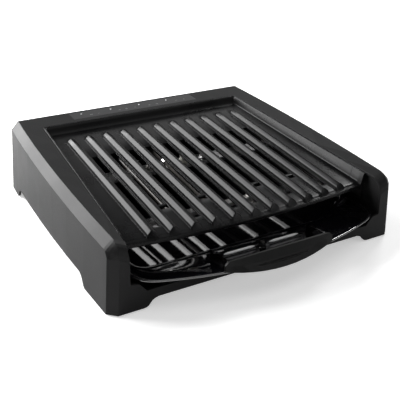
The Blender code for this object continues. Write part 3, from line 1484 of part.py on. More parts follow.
def build_board():
    """Control board under the panel, with its relay and capacitor."""
    top = board_z()
    y = depth_y(BOARD_PLACE)
    bm = bmesh.new()
    box(bm, (-PANEL_SHIFT - BOARD_LENGTH / 2, y - BOARD_WIDTH / 2, top - BOARD_THICK),
        (-PANEL_SHIFT + BOARD_LENGTH / 2, y + BOARD_WIDTH / 2, top))
    make_object("control_board", bm, "board_green")

    under = board_under_z()
    bm = bmesh.new()
    box(bm, (RELAY_X - RELAY_LENGTH / 2, y - RELAY_WIDTH / 2, under - RELAY_HEIGHT),
        (RELAY_X + RELAY_LENGTH / 2, y + RELAY_WIDTH / 2, under))
    make_object("relay", bm, "relay_blue")
    bm = bmesh.new()
    bulge = CAPACITOR_RADIUS - SEAT_GAP
    turned(bm, [(0, -CAPACITOR_HEIGHT), (bulge, -CAPACITOR_HEIGHT),
                (CAPACITOR_RADIUS, SEAT_GAP - CAPACITOR_HEIGHT), (CAPACITOR_RADIUS, 0), (0, 0)],
           SMALL_SIDES, matrix_at((-CAPACITOR_X, y, under)))
    make_object("capacitor", bm, "panel_film")


def block_place():
    """Front of the terminal block, behind the skirt."""
    return OPENING_REAR + SKIRT_LAP + SKIRT + SEAT_GAP


def build_block():
    """Terminal block that takes the element's two ends."""
    z = element_z(OPENING_REAR + SKIRT_LAP)
    near = block_place()
    bm = bmesh.new()
    c = BLOCK_BEVEL
    hx, hz = BLOCK_LENGTH / 2, BLOCK_HEIGHT / 2
    face = [(-hx + c, z - hz), (hx - c, z - hz), (hx, z - hz + c), (hx, z + hz - c),
            (hx - c, z + hz), (-hx + c, z + hz), (-hx, z + hz - c), (-hx, z - hz + c)]
    prism_along(bm, "y", face, depth_y(near), depth_y(near + BLOCK_DEPTH))
    block = make_object("terminal_block", bm, "ceramic")
    bm = bmesh.new()
    for rim in element_end_rims(ELEMENT_RADIUS + SEAT_GAP):
        prism_along(bm, "y", rim, depth_y(near - SKIRT), depth_y(ELEMENT_END + SEAT_GAP))
    combine(block, helper("block_bores", bm), "DIFFERENCE")


def build_wires():
    """Live and neutral sleeves from the terminal block up to the board."""
    z = element_z(OPENING_REAR + SKIRT_LAP)
    start = block_place() + BLOCK_DEPTH + SEAT_GAP
    for name, side, sleeve in (("wire_live", -1, "sleeve_brown"),
                               ("wire_neutral", 1, "sleeve_blue")):
        x = side * leg_x(0)
        path = [(x, start, z)]
        for i in range(ARC_STEPS + 1):
            a = pi / 2 * i / ARC_STEPS
            path.append((x, start + WIRE_BACK * (1 + sin(a)) / 2, z + WIRE_BACK
                         * (1 - cos(a)) / 2))
        path.append((x, start + WIRE_BACK, board_under_z()))
        bm = bmesh.new()
        tube(bm, [(px, depth_y(d), pz) for px, d, pz in path], WIRE_RADIUS, 8)
        make_object(name, bm, sleeve)


def carry(moving, name, location):
    """Put moving pieces under an empty that marks their joint."""
    empty = bpy.data.objects.new(name, None)
    bpy.context.scene.collection.objects.link(empty)
    empty.location = location
    bpy.context.view_layer.update()
    for piece in moving:
        obj = bpy.data.objects[piece]
        obj.parent = empty
        obj.matrix_parent_inverse = empty.matrix_world.inverted()


def main():
    """Build every piece."""
    clear_scene()
    build_housing()
    build_plate()
    build_tray()
    build_handle()
    build_bracket()
    build_screws()
    build_runners()
    build_shield()
    build_base()
    build_pads()
    build_element()
    build_bars()
    build_clips()
    build_sensors()
    build_panel()
    build_board()
    build_block()
    build_wires()
    moving = ["drip_tray", "tray_handle", "handle_bracket", "handle_screw_left",
              "handle_screw_right", "bracket_screw"]
    carry(moving, "tray_slide", (0, depth_y(0), BEAD_CENTRE_Z))
    carry(["cooking_plate"], "plate_lift", (0, depth_y(OPENING_REAR / 2),
                                            crest_z(OPENING_REAR / 2)))


main()
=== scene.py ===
"""Countertop electric grill, dressed for the photograph.

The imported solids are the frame.  The cooking plate, the tray and the parts that need
finer form are made again here; the other solids keep their shape and get their finish.
Lengths are in metres, +Z is up and the grill's front faces -Y.  Places along the depth
are distances behind the housing's front face, turned into Y by depth_y().
"""
from __future__ import annotations

import logging
from collections.abc import Callable, Iterable, Sequence
from dataclasses import dataclass, field
from enum import Enum
from math import atan, cos, pi, radians, sin, sqrt

import bpy
from mathutils import Matrix, Vector


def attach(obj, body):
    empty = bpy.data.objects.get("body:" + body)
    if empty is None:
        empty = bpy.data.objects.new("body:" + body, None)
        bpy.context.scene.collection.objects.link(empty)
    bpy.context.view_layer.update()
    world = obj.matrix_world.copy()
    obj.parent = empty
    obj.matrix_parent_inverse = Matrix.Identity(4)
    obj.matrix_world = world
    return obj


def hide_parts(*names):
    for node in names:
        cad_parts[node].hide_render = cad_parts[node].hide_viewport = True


Point = tuple[float, float, float]
Flat = tuple[float, float]
Colour = tuple[float, float, float]

LOG = logging.getLogger("grill")

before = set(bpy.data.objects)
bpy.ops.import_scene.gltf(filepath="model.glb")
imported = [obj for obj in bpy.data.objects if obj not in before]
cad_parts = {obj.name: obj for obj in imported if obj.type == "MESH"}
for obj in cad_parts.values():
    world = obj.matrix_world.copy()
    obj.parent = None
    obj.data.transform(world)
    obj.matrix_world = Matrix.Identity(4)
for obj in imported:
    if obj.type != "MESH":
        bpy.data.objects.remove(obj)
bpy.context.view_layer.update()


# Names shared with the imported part

class Body(Enum):
    """Bodies that a piece can ride on."""

    GRILL = "grill_body"
    PLATE = "plate"
    TRAY = "tray"


class Slot(Enum):
    """Material slots of the part's record."""

    HOUSING = "housing_black"
    PANEL = "panel_black"
    LENS = "lens_clear"
    PLATE = "plate_black"
    TRAY = "tray_black"
    HANDLE = "handle_black"
    BRACKET = "bracket_black"
    BRIGHT_STEEL = "bright_steel"
    BLACK_STEEL = "black_steel"
    ELEMENT = "element_sheath"
    RUBBER = "rubber_black"
    BOARD = "board_green"
    CERAMIC = "ceramic_white"
    RELAY = "relay_blue"
    SLEEVE_BROWN = "sleeve_brown"
    SLEEVE_BLUE = "sleeve_blue"


class Texture(Enum):
    """Surface textures a finish can have."""

    GRAIN = "moulded grain"
    CAST = "cast skin"
    BRUSHED = "drawn lines"
    TRACKS = "board tracks"


# Shape of the grill that several classes share

@dataclass(frozen=True)
class Form:
    """Leading sizes of the grill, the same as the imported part's."""

    depth: float = 0.388
    top_front: float = 0.0875
    top_rear: float = 0.1055
    front_y: float = -0.17375
    opening_half_front: float = 0.1735
    opening_half_rear: float = 0.1585
    opening_rear: float = 0.335
    opening_dip: float = 0.0060
    crest_front_z: float = 0.0737
    crest_slope: float = 0.0783

    def depth_y(self, place: float) -> float:
        """Y of a place behind the housing's front face."""
        return self.front_y + place

    def top_z(self, place: float) -> float:
        """Height of the housing's top surface."""
        return self.top_front + (self.top_rear - self.top_front) * place / self.depth

    def top_tilt(self) -> float:
        """Slope of the housing's top surface, in radians."""
        return atan((self.top_rear - self.top_front) / self.depth)

    def opening_half(self, place: float) -> float:
        """Half width of the plate opening.

        Args:
            place: distance behind the housing's front face.

        Returns:
            Half the opening's width there.
        """
        share = place / self.opening_rear
        return (self.opening_half_front
                + (self.opening_half_rear - self.opening_half_front) * share)

    def rail_inner_z(self, place: float) -> float:
        """Height of the rails' inner edge, which dips towards the front."""
        share = max(0.0, 1 - place / self.opening_rear)
        return self.top_z(place) - self.opening_dip * share

    def crest_z(self, place: float) -> float:
        """Height of the plane that the ridge crests lie in."""
        return self.crest_front_z + self.crest_slope * place


FORM = Form()


# Node trees

class Wiring:
    """Adds nodes to one node tree and links them."""

    def __init__(self, tree: bpy.types.NodeTree) -> None:
        """Keep the tree that nodes are added to."""
        self.tree = tree

    def add(self, kind: str, **settings: object) -> bpy.types.Node:
        """Add a node.

        Args:
            kind: the node's type name.
            settings: properties set on the node.

        Returns:
            The new node.
        """
        node = self.tree.nodes.new(kind)
        for name, value in settings.items():
            setattr(node, name, value)
        return node

    def feed(self, node: bpy.types.Node, **values: object) -> bpy.types.Node:
        """Set or link a node's inputs.

        Args:
            node: the node whose inputs are set.
            values: input name with _ for spaces, or i0, i1 for a number; an output
                socket is linked and anything else becomes the default value.

        Returns:
            The same node.
        """
        for name, value in values.items():
            key: object = name.replace("_", " ")
            if name[0] == "i" and name[1:].isdigit():
                key = int(name[1:])
            socket = node.inputs[key]
            if isinstance(value, bpy.types.NodeSocket):
                self.tree.links.new(value, socket)
            else:
                socket.default_value = value
        return node

    def math(self, operation: str, a: object, b: object = 0.0,
             c: object = 0.5) -> bpy.types.NodeSocket:
        """Add a Math node; only a MULTIPLY_ADD reads its third input."""
        node = self.add("ShaderNodeMath", operation=operation)
        return self.feed(node, i0=a, i1=b, i2=c).outputs[0]

    def spread(self, value: bpy.types.NodeSocket, low: float,
               high: float) -> bpy.types.NodeSocket:
        """Map a value smoothly from a range to 0 to 1 and clamp it."""
        node = self.add("ShaderNodeMapRange", interpolation_type="SMOOTHSTEP")
        return self.feed(node, i0=value, i1=low, i2=high).outputs[0]

    def blend(self, share: object, a: object, b: object) -> bpy.types.NodeSocket:
        """Mix two colours and return the result."""
        node = self.add("ShaderNodeMix", data_type="RGBA")
        return self.feed(node, i0=share, i6=a, i7=b).outputs[2]

    def noise(self, vector: bpy.types.NodeSocket, scale: object, detail: float,
              roughness: float, distortion: float = 0.0) -> bpy.types.NodeSocket:
        """Add a Noise Texture.

        Args:
            vector: where the texture is read.
            scale: its scale.
            detail: how many finer layers it has.
            roughness: strength of the finer layers.
            distortion: how far it is warped.

        Returns:
            The Fac output.
        """
        node = self.add("ShaderNodeTexNoise")
        return self.feed(node, Vector=vector, Scale=scale, Detail=detail,
                         Roughness=roughness, Distortion=distortion).outputs["Fac"]

    def cells(self, vector: bpy.types.NodeSocket, scale: object,
              **settings: object) -> bpy.types.NodeSocket:
        """Add a Voronoi Texture and return its Distance output."""
        node = self.add("ShaderNodeTexVoronoi", **settings)
        return self.feed(node, Vector=vector, Scale=scale).outputs["Distance"]

    def mixed(self, a: bpy.types.NodeSocket, share_a: float, b: bpy.types.NodeSocket,
              share_b: float) -> bpy.types.NodeSocket:
        """Add up two values, each times its own share."""
        return self.math("ADD", self.math("MULTIPLY", a, share_a),
                         self.math("MULTIPLY", b, share_b))


def new_group(name: str, inputs: dict[str, float | None],
              outputs: dict[str, str]) -> tuple[Wiring, bpy.types.Node, bpy.types.Node]:
    """Start a shader node group.

    Args:
        name: name of the group.
        inputs: input names with their default; None makes a vector socket.
        outputs: output names with FLOAT, COLOR or VECTOR.

    Returns:
        Wiring for its tree, its input node and its output node.
    """
    kinds = {"FLOAT": "NodeSocketFloat", "COLOR": "NodeSocketColor",
             "VECTOR": "NodeSocketVector"}
    tree = bpy.data.node_groups.new(name, "ShaderNodeTree")
    for socket_name, default in inputs.items():
        kind = "NodeSocketVector" if default is None else "NodeSocketFloat"
        socket = tree.interface.new_socket(socket_name, in_out="INPUT", socket_type=kind)
        if default is not None:
            socket.default_value = default
    for socket_name, kind in outputs.items():
        tree.interface.new_socket(socket_name, in_out="OUTPUT", socket_type=kinds[kind])
    wiring = Wiring(tree)
    return wiring, wiring.add("NodeGroupInput"), wiring.add("NodeGroupOutput")


def texture_group(name: str, size: float) -> tuple[Wiring, bpy.types.NodeSocket,
                                                   bpy.types.NodeSocket, bpy.types.Node]:
    """Start the node group of a texture, which puts out Height and Tone.

    Args:
        name: name of the group.
        size: default size of the texture's finest part.

    Returns:
        Wiring for its tree, its place vector, its scale and its output node.
    """
    w, source, sink = new_group(name, {"Vector": None, "Size": size},
                                {"Height": "FLOAT", "Tone": "FLOAT"})
    scale = w.math("DIVIDE", 1.0, source.outputs["Size"])
    return w, source.outputs["Vector"], scale, sink


@dataclass
class Effects:
    """Shader node groups that several materials share, each built once."""

    made: dict[str, bpy.types.NodeTree] = field(default_factory=dict)

    def group(self, texture: Texture) -> bpy.types.NodeTree:
        """The node group of a texture.

        Args:
            texture: which texture.

        Returns:
            Its node group, built on the first call.
        """
        builders = {Texture.GRAIN: self.grain, Texture.CAST: self.cast,
                    Texture.BRUSHED: self.drawn, Texture.TRACKS: self.tracks}
        return self.once(texture.value, builders[texture])

    def once(self, name: str, build: Callable[[str], bpy.types.NodeTree]) -> bpy.types.NodeTree:
        """Build a group the first time it is asked for.

        Args:
            name: name of the group.
            build: what builds it, given the name.

        Returns:
            The group.
        """
        if name not in self.made:
            self.made[name] = build(name)
        return self.made[name]

    def grain(self, name: str) -> bpy.types.NodeTree:
        """Spark-eroded grain of a moulding: fine pits with a slow change of tone.

        Args:
            name: name of the group.

        Returns:
            The group, with outputs Height and Tone.
        """
        w, vector, scale, sink = texture_group(name, 0.0006)
        fine = w.noise(vector, scale, detail=3.0, roughness=0.65)
        pits = w.cells(vector, scale, feature="SMOOTH_F1")
        slow = w.noise(vector, 9.0, detail=4.0, roughness=0.6)
        tone = w.spread(w.mixed(fine, 0.5, slow, 0.5), 0.38, 0.62)
        w.feed(sink, Height=w.mixed(fine, 0.6, pits, 0.5), Tone=tone)
        return w.tree

    def cast(self, name: str) -> bpy.types.NodeTree:
        """Sprayed coating over a casting: orange peel and a few light specks.

        Args:
            name: name of the group.

        Returns:
            The group, with outputs Height and Tone.
        """
        w, vector, scale, sink = texture_group(name, 0.0008)
        peel = w.noise(vector, scale, detail=2.0, roughness=0.5, distortion=0.4)
        specks = w.spread(w.cells(vector, scale), 0.16, 0.08)
        slow = w.spread(w.noise(vector, 14.0, detail=5.0, roughness=0.6), 0.4, 0.62)
        w.feed(sink, Height=peel, Tone=w.mixed(specks, 0.25, slow, 0.75))
        return w.tree

    def drawn(self, name: str) -> bpy.types.NodeTree:
        """Lines left by rolling or drawing sheet, along X.

        Args:
            name: name of the group.

        Returns:
            The group, with outputs Height and Tone.
        """
        w, vector, scale, sink = texture_group(name, 0.0004)
        stretch = w.feed(w.add("ShaderNodeMapping"), Vector=vector, Scale=(0.02, 1.0, 1.0))
        lines = w.noise(stretch.outputs[0], scale, detail=3.0, roughness=0.6)
        stains = w.noise(vector, 22.0, detail=5.0, roughness=0.65, distortion=0.8)
        tone = w.spread(w.mixed(lines, 0.4, stains, 0.6), 0.38, 0.64)
        w.feed(sink, Height=lines, Tone=tone)
        return w.tree

    def tracks(self, name: str) -> bpy.types.NodeTree:
        """Copper tracks under the lacquer of a circuit board.

        Args:
            name: name of the group.

        Returns:
            The group, with outputs Height and Tone.
        """
        w, vector, scale, sink = texture_group(name, 0.004)
        gaps = w.cells(vector, scale, distance="MANHATTAN", feature="DISTANCE_TO_EDGE")
        tracks = w.spread(gaps, 0.13, 0.09)
        w.feed(sink, Height=tracks, Tone=tracks)
        return w.tree

    def edges(self) -> bpy.types.NodeTree:
        """Softened edges: a rounded normal and a mask of lightened edges, partly wear where
        handling rubs and partly painted highlight.
        """
        return self.once("softened edges", self.build_edges)

    def build_edges(self, name: str) -> bpy.types.NodeTree:
        """Build the softened-edge group.

        Args:
            name: name of the group.

        Returns:
            The group, with outputs Normal and Rub, the mask of edge wear and painted edge
            highlight.
        """
        w, source, sink = new_group(name, {"Vector": None, "Radius": 0.0005, "Patch": 60.0},
                                    {"Normal": "VECTOR", "Rub": "FLOAT"})
        rounded = w.feed(w.add("ShaderNodeBevel", samples=6),
                         Radius=source.outputs["Radius"])
        facing = w.add("ShaderNodeNewGeometry")
        dot = w.add("ShaderNodeVectorMath", operation="DOT_PRODUCT")
        w.feed(dot, i0=rounded.outputs[0], i1=facing.outputs["Normal"])
        bend = w.spread(dot.outputs["Value"], 0.995, 0.90)
        patch = w.noise(source.outputs["Vector"], source.outputs["Patch"], detail=4.0,
                        roughness=0.7)
        # Mask of lighter edges: wear where handling rubs, and painted highlight along the edges
        wear_and_sheen = w.math("MULTIPLY", bend, w.spread(patch, 0.42, 0.70))
        w.feed(sink, Normal=rounded.outputs[0], Rub=wear_and_sheen)
        return w.tree


EFFECTS = Effects()


# Finishes

@dataclass(frozen=True)
class Finish:
    """How one material of the grill looks."""

    name: str
    slot: Slot
    texture: Texture
    colour: Colour
    toned: Colour
    # Edge colour: wear where handling rubs, and painted highlight along the edges
    edge_wear_and_sheen: Colour
    roughness: float
    roughness_change: float = 0.08
    metallic: float = 0.0
    specular: float = 0.5
    ior: float = 1.5
    size: float = 0.0006
    bump: float = 0.00002
    edge: float = 0.0005

    def material(self) -> bpy.types.Material:
        """The material, made the first time it is asked for.

        Returns:
            The Blender material of this finish.
        """
        found = bpy.data.materials.get(self.name)
        if found is not None:
            return found
        material = bpy.data.materials.new(self.name)
        material.use_nodes = True
        w = Wiring(material.node_tree)
        shader = material.node_tree.nodes["Principled BSDF"]
        where = w.add("ShaderNodeTexCoord").outputs["Object"]
        texture = w.add("ShaderNodeGroup", node_tree=EFFECTS.group(self.texture))
        w.feed(texture, Vector=where, Size=self.size)
        edges = w.add("ShaderNodeGroup", node_tree=EFFECTS.edges())
        w.feed(edges, Vector=where, Radius=self.edge)
        tone, wear_and_sheen = texture.outputs["Tone"], edges.outputs["Rub"]
        colour = w.blend(tone, (*self.colour, 1.0), (*self.toned, 1.0))
        # Edges take the lighter colour: partly wear, partly painted highlight
        colour = w.blend(wear_and_sheen, colour, (*self.edge_wear_and_sheen, 1.0))
        rough = w.math("MULTIPLY_ADD", tone, self.roughness_change,
                       self.roughness - self.roughness_change / 2)
        bump = w.feed(w.add("ShaderNodeBump"), Strength=1.0, Distance=self.bump,
                      Height=texture.outputs["Height"], Normal=edges.outputs["Normal"])
        w.feed(shader, Base_Color=colour, Roughness=rough, Normal=bump.outputs[0],
               Metallic=self.metallic, IOR=self.ior, Specular_IOR_Level=self.specular)
        material.diffuse_color = (*self.colour, 1.0)
        return material

    def dress(self, *nodes: str) -> None:
        """Give carried-over solids this finish.

        Args:
            nodes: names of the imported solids.
        """
        for name in nodes:
            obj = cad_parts[name]
            for place in obj.material_slots:
                place.material = self.material()
            LOG.info("dressed %s in %s", name, self.name)


MOULDED = Finish("moulded black", Slot.HOUSING, Texture.GRAIN, (0.008, 0.008, 0.0083),
                 (0.012, 0.012, 0.0123), (0.035, 0.035, 0.036), 0.46, 0.09,
                 specular=0.15, size=0.0007, bump=0.00003, edge=0.0007)
PANEL_FILM = Finish("panel film", Slot.PANEL, Texture.GRAIN, (0.012, 0.012, 0.013),
                    (0.015, 0.015, 0.016), (0.03, 0.03, 0.03), 0.36, 0.06,
                    specular=0.4, size=0.0005, bump=0.00001, edge=0.0002)
COATED_CAST = Finish("coated casting", Slot.PLATE, Texture.CAST, (0.003, 0.003, 0.0033),
                     (0.007, 0.007, 0.0073), (0.03, 0.03, 0.03), 0.29, 0.05,
                     specular=0.15, size=0.0009)
TRAY_ENAMEL = Finish("tray enamel", Slot.TRAY, Texture.CAST, (0.003, 0.003, 0.004),
                     (0.004, 0.004, 0.005), (0.02, 0.02, 0.02), 0.05, 0.03, ior=2.6,
                     size=0.012, edge=0.0003)
HANDLE_SOFT = Finish("handle moulding", Slot.HANDLE, Texture.GRAIN, (0.004, 0.004, 0.004),
                     (0.006, 0.006, 0.006), (0.03, 0.03, 0.03), 0.45, 0.08,
                     specular=0.15, size=0.0005, edge=0.0006)
BRACKET_GLOSS = Finish("bracket enamel", Slot.BRACKET, Texture.CAST, (0.10, 0.10, 0.105),
                       (0.16, 0.16, 0.165), (0.50, 0.50, 0.51), 0.10, 0.06, metallic=1.0,
                       size=0.003, bump=0.00001, edge=0.0004)
# Pale stand-in for what are most likely lamp reflections on the bracket's bars
BAR_PAINTED_HIGHLIGHT = Finish("painted bar highlight", Slot.BRACKET, Texture.CAST, (0.84, 0.84, 0.85),
                   (0.88, 0.88, 0.88), (0.90, 0.90, 0.90), 0.20, 0.06, size=0.003,
                   bump=0.00001, edge=0.0003)
BRIGHT_STEEL = Finish("bright steel", Slot.BRIGHT_STEEL, Texture.BRUSHED, (0.52, 0.52, 0.53),
                      (0.42, 0.41, 0.40), (0.65, 0.65, 0.66), 0.30, 0.14, metallic=1.0,
                      size=0.0004, bump=0.00001, edge=0.0003)
BLACK_STEEL = Finish("blackened steel", Slot.BLACK_STEEL, Texture.BRUSHED,
                     (0.030, 0.030, 0.031), (0.045, 0.043, 0.041), (0.20, 0.20, 0.20),
                     0.42, 0.14, metallic=0.6, size=0.0005, bump=0.00001, edge=0.0004)
SHEATH = Finish("heated sheath", Slot.ELEMENT, Texture.BRUSHED, (0.030, 0.029, 0.028),
                (0.055, 0.048, 0.042), (0.20, 0.19, 0.18), 0.44, 0.14, metallic=0.35,
                size=0.0010, bump=0.00001, edge=0.0003)
RUBBER = Finish("foot rubber", Slot.RUBBER, Texture.GRAIN, (0.016, 0.016, 0.016),
                (0.024, 0.024, 0.023), (0.05, 0.05, 0.05), 0.82, 0.08, specular=0.3,
                size=0.0008, bump=0.00003, edge=0.0006)
LENS = Finish("lens light", Slot.LENS, Texture.GRAIN, (0.80, 0.82, 0.85),
              (0.86, 0.87, 0.90), (0.9, 0.9, 0.9), 0.16, 0.04, size=0.0010,
              bump=0.000002, edge=0.0002)
BOARD = Finish("board lacquer", Slot.BOARD, Texture.TRACKS, (0.012, 0.085, 0.035),
               (0.030, 0.150, 0.060), (0.20, 0.20, 0.12), 0.34, 0.10, size=0.005,
               bump=0.00003, edge=0.0002)
CERAMIC = Finish("glazed ceramic", Slot.CERAMIC, Texture.GRAIN, (0.68, 0.66, 0.60),
                 (0.74, 0.72, 0.67), (0.80, 0.79, 0.75), 0.42, 0.12, size=0.0009)
RELAY_BLUE = Finish("relay case", Slot.RELAY, Texture.GRAIN, (0.020, 0.060, 0.190),
                    (0.026, 0.072, 0.220), (0.06, 0.12, 0.30), 0.40, 0.08, bump=0.00001,
                    edge=0.0004)
SLEEVE_BROWN = Finish("brown sleeve", Slot.SLEEVE_BROWN, Texture.GRAIN, (0.090, 0.040, 0.020),
                      (0.120, 0.055, 0.028), (0.16, 0.09, 0.05), 0.52, 0.08, bump=0.00001,
                      edge=0.0002)
SLEEVE_BLUE = Finish("blue sleeve", Slot.SLEEVE_BLUE, Texture.GRAIN, (0.022, 0.070, 0.260),
                     (0.030, 0.085, 0.300), (0.10, 0.16, 0.36), 0.52, 0.08, bump=0.00001,
                     edge=0.0002)
MARK_PRINT = Finish("panel print", Slot.PANEL, Texture.GRAIN, (0.30, 0.30, 0.31),
                    (0.36, 0.36, 0.37), (0.4, 0.4, 0.4), 0.45, 0.06, bump=0.000002,
                    edge=0.00005)


def numbered(name: str, count: int) -> list[str]:
    """Names of pieces that are counted from 1."""
    return [f"{name}_{i}" for i in range(1, count + 1)]


# Meshes

@dataclass
class Skin:
    """Vertices and faces of one piece, gathered before its mesh is made."""

    points: list[Point] = field(default_factory=list)
    faces: list[tuple[int, ...]] = field(default_factory=list)

    def ring(self, points: Iterable[Sequence[float]]) -> list[int]:
        """Add a row of points.

        Args:
            points: the points of one row.

        Returns:
            The number of each point.
        """
        start = len(self.points)
        self.points.extend((p[0], p[1], p[2]) for p in points)
        return list(range(start, len(self.points)))

    def bridge(self, low: list[int], high: list[int]) -> None:
        """Join two closed rows of equal length with quads.

        Args:
            low: numbers of the first row's points.
            high: numbers of the second row's points.
        """
        for i in range(len(low)):
            j = (i + 1) % len(low)
            self.faces.append((low[i], low[j], high[j], high[i]))

    def loft(self, rings: Iterable[Iterable[Sequence[float]]]) -> None:
        """Skin rings of equal count one after another and cap both ends.

        Args:
            rings: the rings, each a closed row of points.
        """
        rows = [self.ring(ring) for ring in rings]
        for low, high in zip(rows, rows[1:]):
            self.bridge(low, high)
        self.faces.append(tuple(reversed(rows[0])))
        self.faces.append(tuple(rows[-1]))

    def make(self, name: str, finish: Finish, body: Body, replaces: Sequence[str] = (),
             smooth_degrees: float = 40.0) -> None:
        """Turn the skin into a piece that rides on a body.

        Args:
            name: name of the piece.
            finish: its finish.
            body: the body that carries it.
            replaces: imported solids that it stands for.
            smooth_degrees: edges sharper than this stay crisp.
        """
        mesh = bpy.data.meshes.new(name)
        mesh.from_pydata(self.points, [], self.faces)
        mesh.validate()
        mesh.shade_smooth()
        mesh.set_sharp_from_angle(angle=radians(smooth_degrees))
        mesh.materials.append(finish.material())
        obj = bpy.data.objects.new(name, mesh)
        bpy.context.scene.collection.objects.link(obj)
        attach(obj, body.value)
        if replaces:
            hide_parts(*replaces)
        LOG.info("made %s: %d faces", name, len(self.faces))


# Most of an edge that the rounding at one of its ends takes up
ROUND_REACH_SHARE = 0.48


def rounded(outline: Sequence[Flat], arms: Sequence[float], steps: int = 4) -> list[Flat]:
    """Round the corners of an open polyline; its ends stay.

    Args:
        outline: its corners.
        arms: how far each corner's rounding reaches along its edges.
        steps: points in each rounding.

    Returns:
        The points of the rounded polyline.
    """
    count = len(outline)
    result: list[Flat] = []
    for i, corner in enumerate(outline):
        if i in (0, count - 1) or arms[i] <= 0:
            result.append(corner)
            continue
        here = Vector(corner)
        before, after = Vector(outline[i - 1]), Vector(outline[i + 1])
        reach_in = min(arms[i], (before - here).length * ROUND_REACH_SHARE)
        reach_out = min(arms[i], (after - here).length * ROUND_REACH_SHARE)
        start = here + (before - here).normalized() * reach_in
        end = here + (after - here).normalized() * reach_out
        for k in range(steps + 1):
            t = k / steps
            point = start * (1 - t) ** 2 + here * 2 * t * (1 - t) + end * t * t
            result.append((point.x, point.y))
    return result


def ease(share: float) -> float:
    """Smooth step of a share between 0 and 1."""
    share = min(1.0, max(0.0, share))
    return share * share * (3 - 2 * share)


# Cooking plate

@dataclass
class CookingPlate:
    """Ridged, slotted cast plate made again with rounded edges."""

    ridges: int = 11
    pitch: float = 0.0264
    ridge_height: float = 0.0071
    ridge_half: float = 0.0066
    shoulder: float = 0.0056
    shoulder_drop: float = 0.0037
    crest_half: float = 0.0010
    floor_thick: float = 0.0032
    slot_half: float = 0.0044
    notch_half: float = 0.0060
    slot_rear: float = 0.2400
    long_front: float = 0.0475
    short_front: float = 0.0910
    notch_rear: float = 0.0870
    notch_front: float = 0.0800
    ridge_rear: float = 0.2960
    ridge_rear_run: float = 0.0050
    wall_foot: float = 0.3240
    rim_flat: float = 0.0022
    rim_lift: float = 0.0003
    rim_dip: float = 0.0012
    rim_thick: float = 0.0030
    band_half: float = 0.1632
    band_run: float = 0.0064
    band_run_rear: float = 0.0048
    floor_side: float = 0.0040
    shelf_half: float = 0.1500
    lip_front: float = 0.0188
    lip_bow: float = 0.0110
    lip_drop: float = 0.0086
    lip_height: float = 0.0046
    lip_round: float = 0.0007
    lip_thick: float = 0.0016
    groove: float = 0.0016
    groove_half: float = 0.0006
    groove_depth: float = 0.0008
    foot_run: float = 0.0030
    end_run: float = 0.0065
    ramp_run: float = 0.0205
    side_gap: float = 0.0007
    edge_step: float = 0.0006
    edge_fall: float = 0.00025
    wall_share: float = 1.4
    wall_rise: float = 0.012
    wall_overlap: float = 0.0020
    crest_round: float = 0.0009
    band_foot_round: float = 0.0016
    rim_round: float = 0.0008
    rim_edge_round: float = 0.0006
    groove_edge_round: float = 0.0002
    groove_floor_round: float = 0.0003
    ramp_round: float = 0.0009
    end_round: float = 0.0012
    first_row_run: float = 0.0035
    last_row_run: float = 0.0030
    plain_rows: tuple[float, ...] = (0.060, 0.070, 0.120, 0.160, 0.200, 0.270, 0.310)
    ridge_end_shares: tuple[float, ...] = (0.0, 0.15, 0.35, 0.6, 0.85, 1.0)
    rear_wall_shares: tuple[Flat, ...] = (
        (-0.18, 0.0), (0.0, 0.03), (0.15, 0.13), (0.35, 0.33),
        (0.65, 0.66), (0.85, 0.90), (1.0, 0.985), (1.12, 1.0))
    smooth_degrees: float = 42.0

    def valleys(self) -> list[float]:
        """X of each valley between two ridges."""
        side = self.ridges // 2
        return [self.pitch * (i + 0.5) for i in range(-side, side)]

    def is_long(self, index: int) -> bool:
        """Long and short slots alternate, mirrored about the middle ridge."""
        return min(index, self.ridges - 2 - index) % 2 == 0

    def ridge_profile(self) -> list[Flat]:
        """Section across one ridge.

        Returns:
            Offset and drop of each point, left to right.
        """
        corners = [(-self.ridge_half, self.ridge_height), (-self.shoulder, self.shoulder_drop),
                   (-self.crest_half, 0.0), (self.crest_half, 0.0),
                   (self.shoulder, self.shoulder_drop), (self.ridge_half, self.ridge_height)]
        arms = [0.0] + [self.crest_round] * (len(corners) - 2) + [0.0]
        return rounded(corners, arms, 3)

    def lip_place(self, x: float) -> float:
        """Place of the front lip, bowed with its middle furthest forward."""
        return self.lip_front + self.lip_bow * (min(abs(x), self.band_half)
                                                / self.band_half) ** 2

    def columns(self) -> list[Flat]:
        """Columns between the side bands, with their drops below the crest.

        Returns:
            X and drop of each column, left to right.
        """
        columns: list[Flat] = []
        side = self.ridges // 2
        for i in range(-side, side + 1):
            columns += [(self.pitch * i + x, drop) for x, drop in self.ridge_profile()]
            if i < side:
                middle = self.pitch * (i + 0.5)
                edges = (self.notch_half, self.slot_half + self.edge_step, self.slot_half)
                for offset in [-e for e in edges] + list(reversed(edges)):
                    columns.append((middle + offset, self.ridge_height))
        return columns

    def side_section(self, place: float, floor: float) -> list[Flat]:
        """Half section from the floor up the side band to the rim.

        Args:
            place: distance behind the housing's front face.
            floor: height of the floor there.

        Returns:
            Half width and height of each point, from the floor outwards.
        """
        share = min(1.0, place / FORM.opening_rear)
        rim = FORM.rail_inner_z(place) - self.rim_dip * (1 - share)
        half = FORM.opening_half(place) - self.side_gap
        foot = half - self.band_run + (self.band_run - self.band_run_rear) * share
        corners = [(foot - self.floor_side, floor), (foot, floor),
                   (half - self.rim_flat, rim + self.rim_lift), (half, rim + self.rim_lift),
                   (half, rim - self.rim_flat)]
        arms = [0.0, self.band_foot_round, self.rim_round, self.rim_edge_round, 0.0]
        return rounded(corners, arms)

    def front_profile(self, drop: float) -> list[Flat]:
        """Lip, groove, ramp and ridge end along one column.

        Args:
            drop: how far the column's ridge or floor lies below the crest.

        Returns:
            Distances behind the lip and depths below the crest plane, front to rear.
        """
        def ramp(run: float) -> float:
            """Depth of the floor that falls to the lip."""
            fall = self.lip_drop - self.ridge_height
            return self.ridge_height + fall * (1 - run / self.ramp_run)

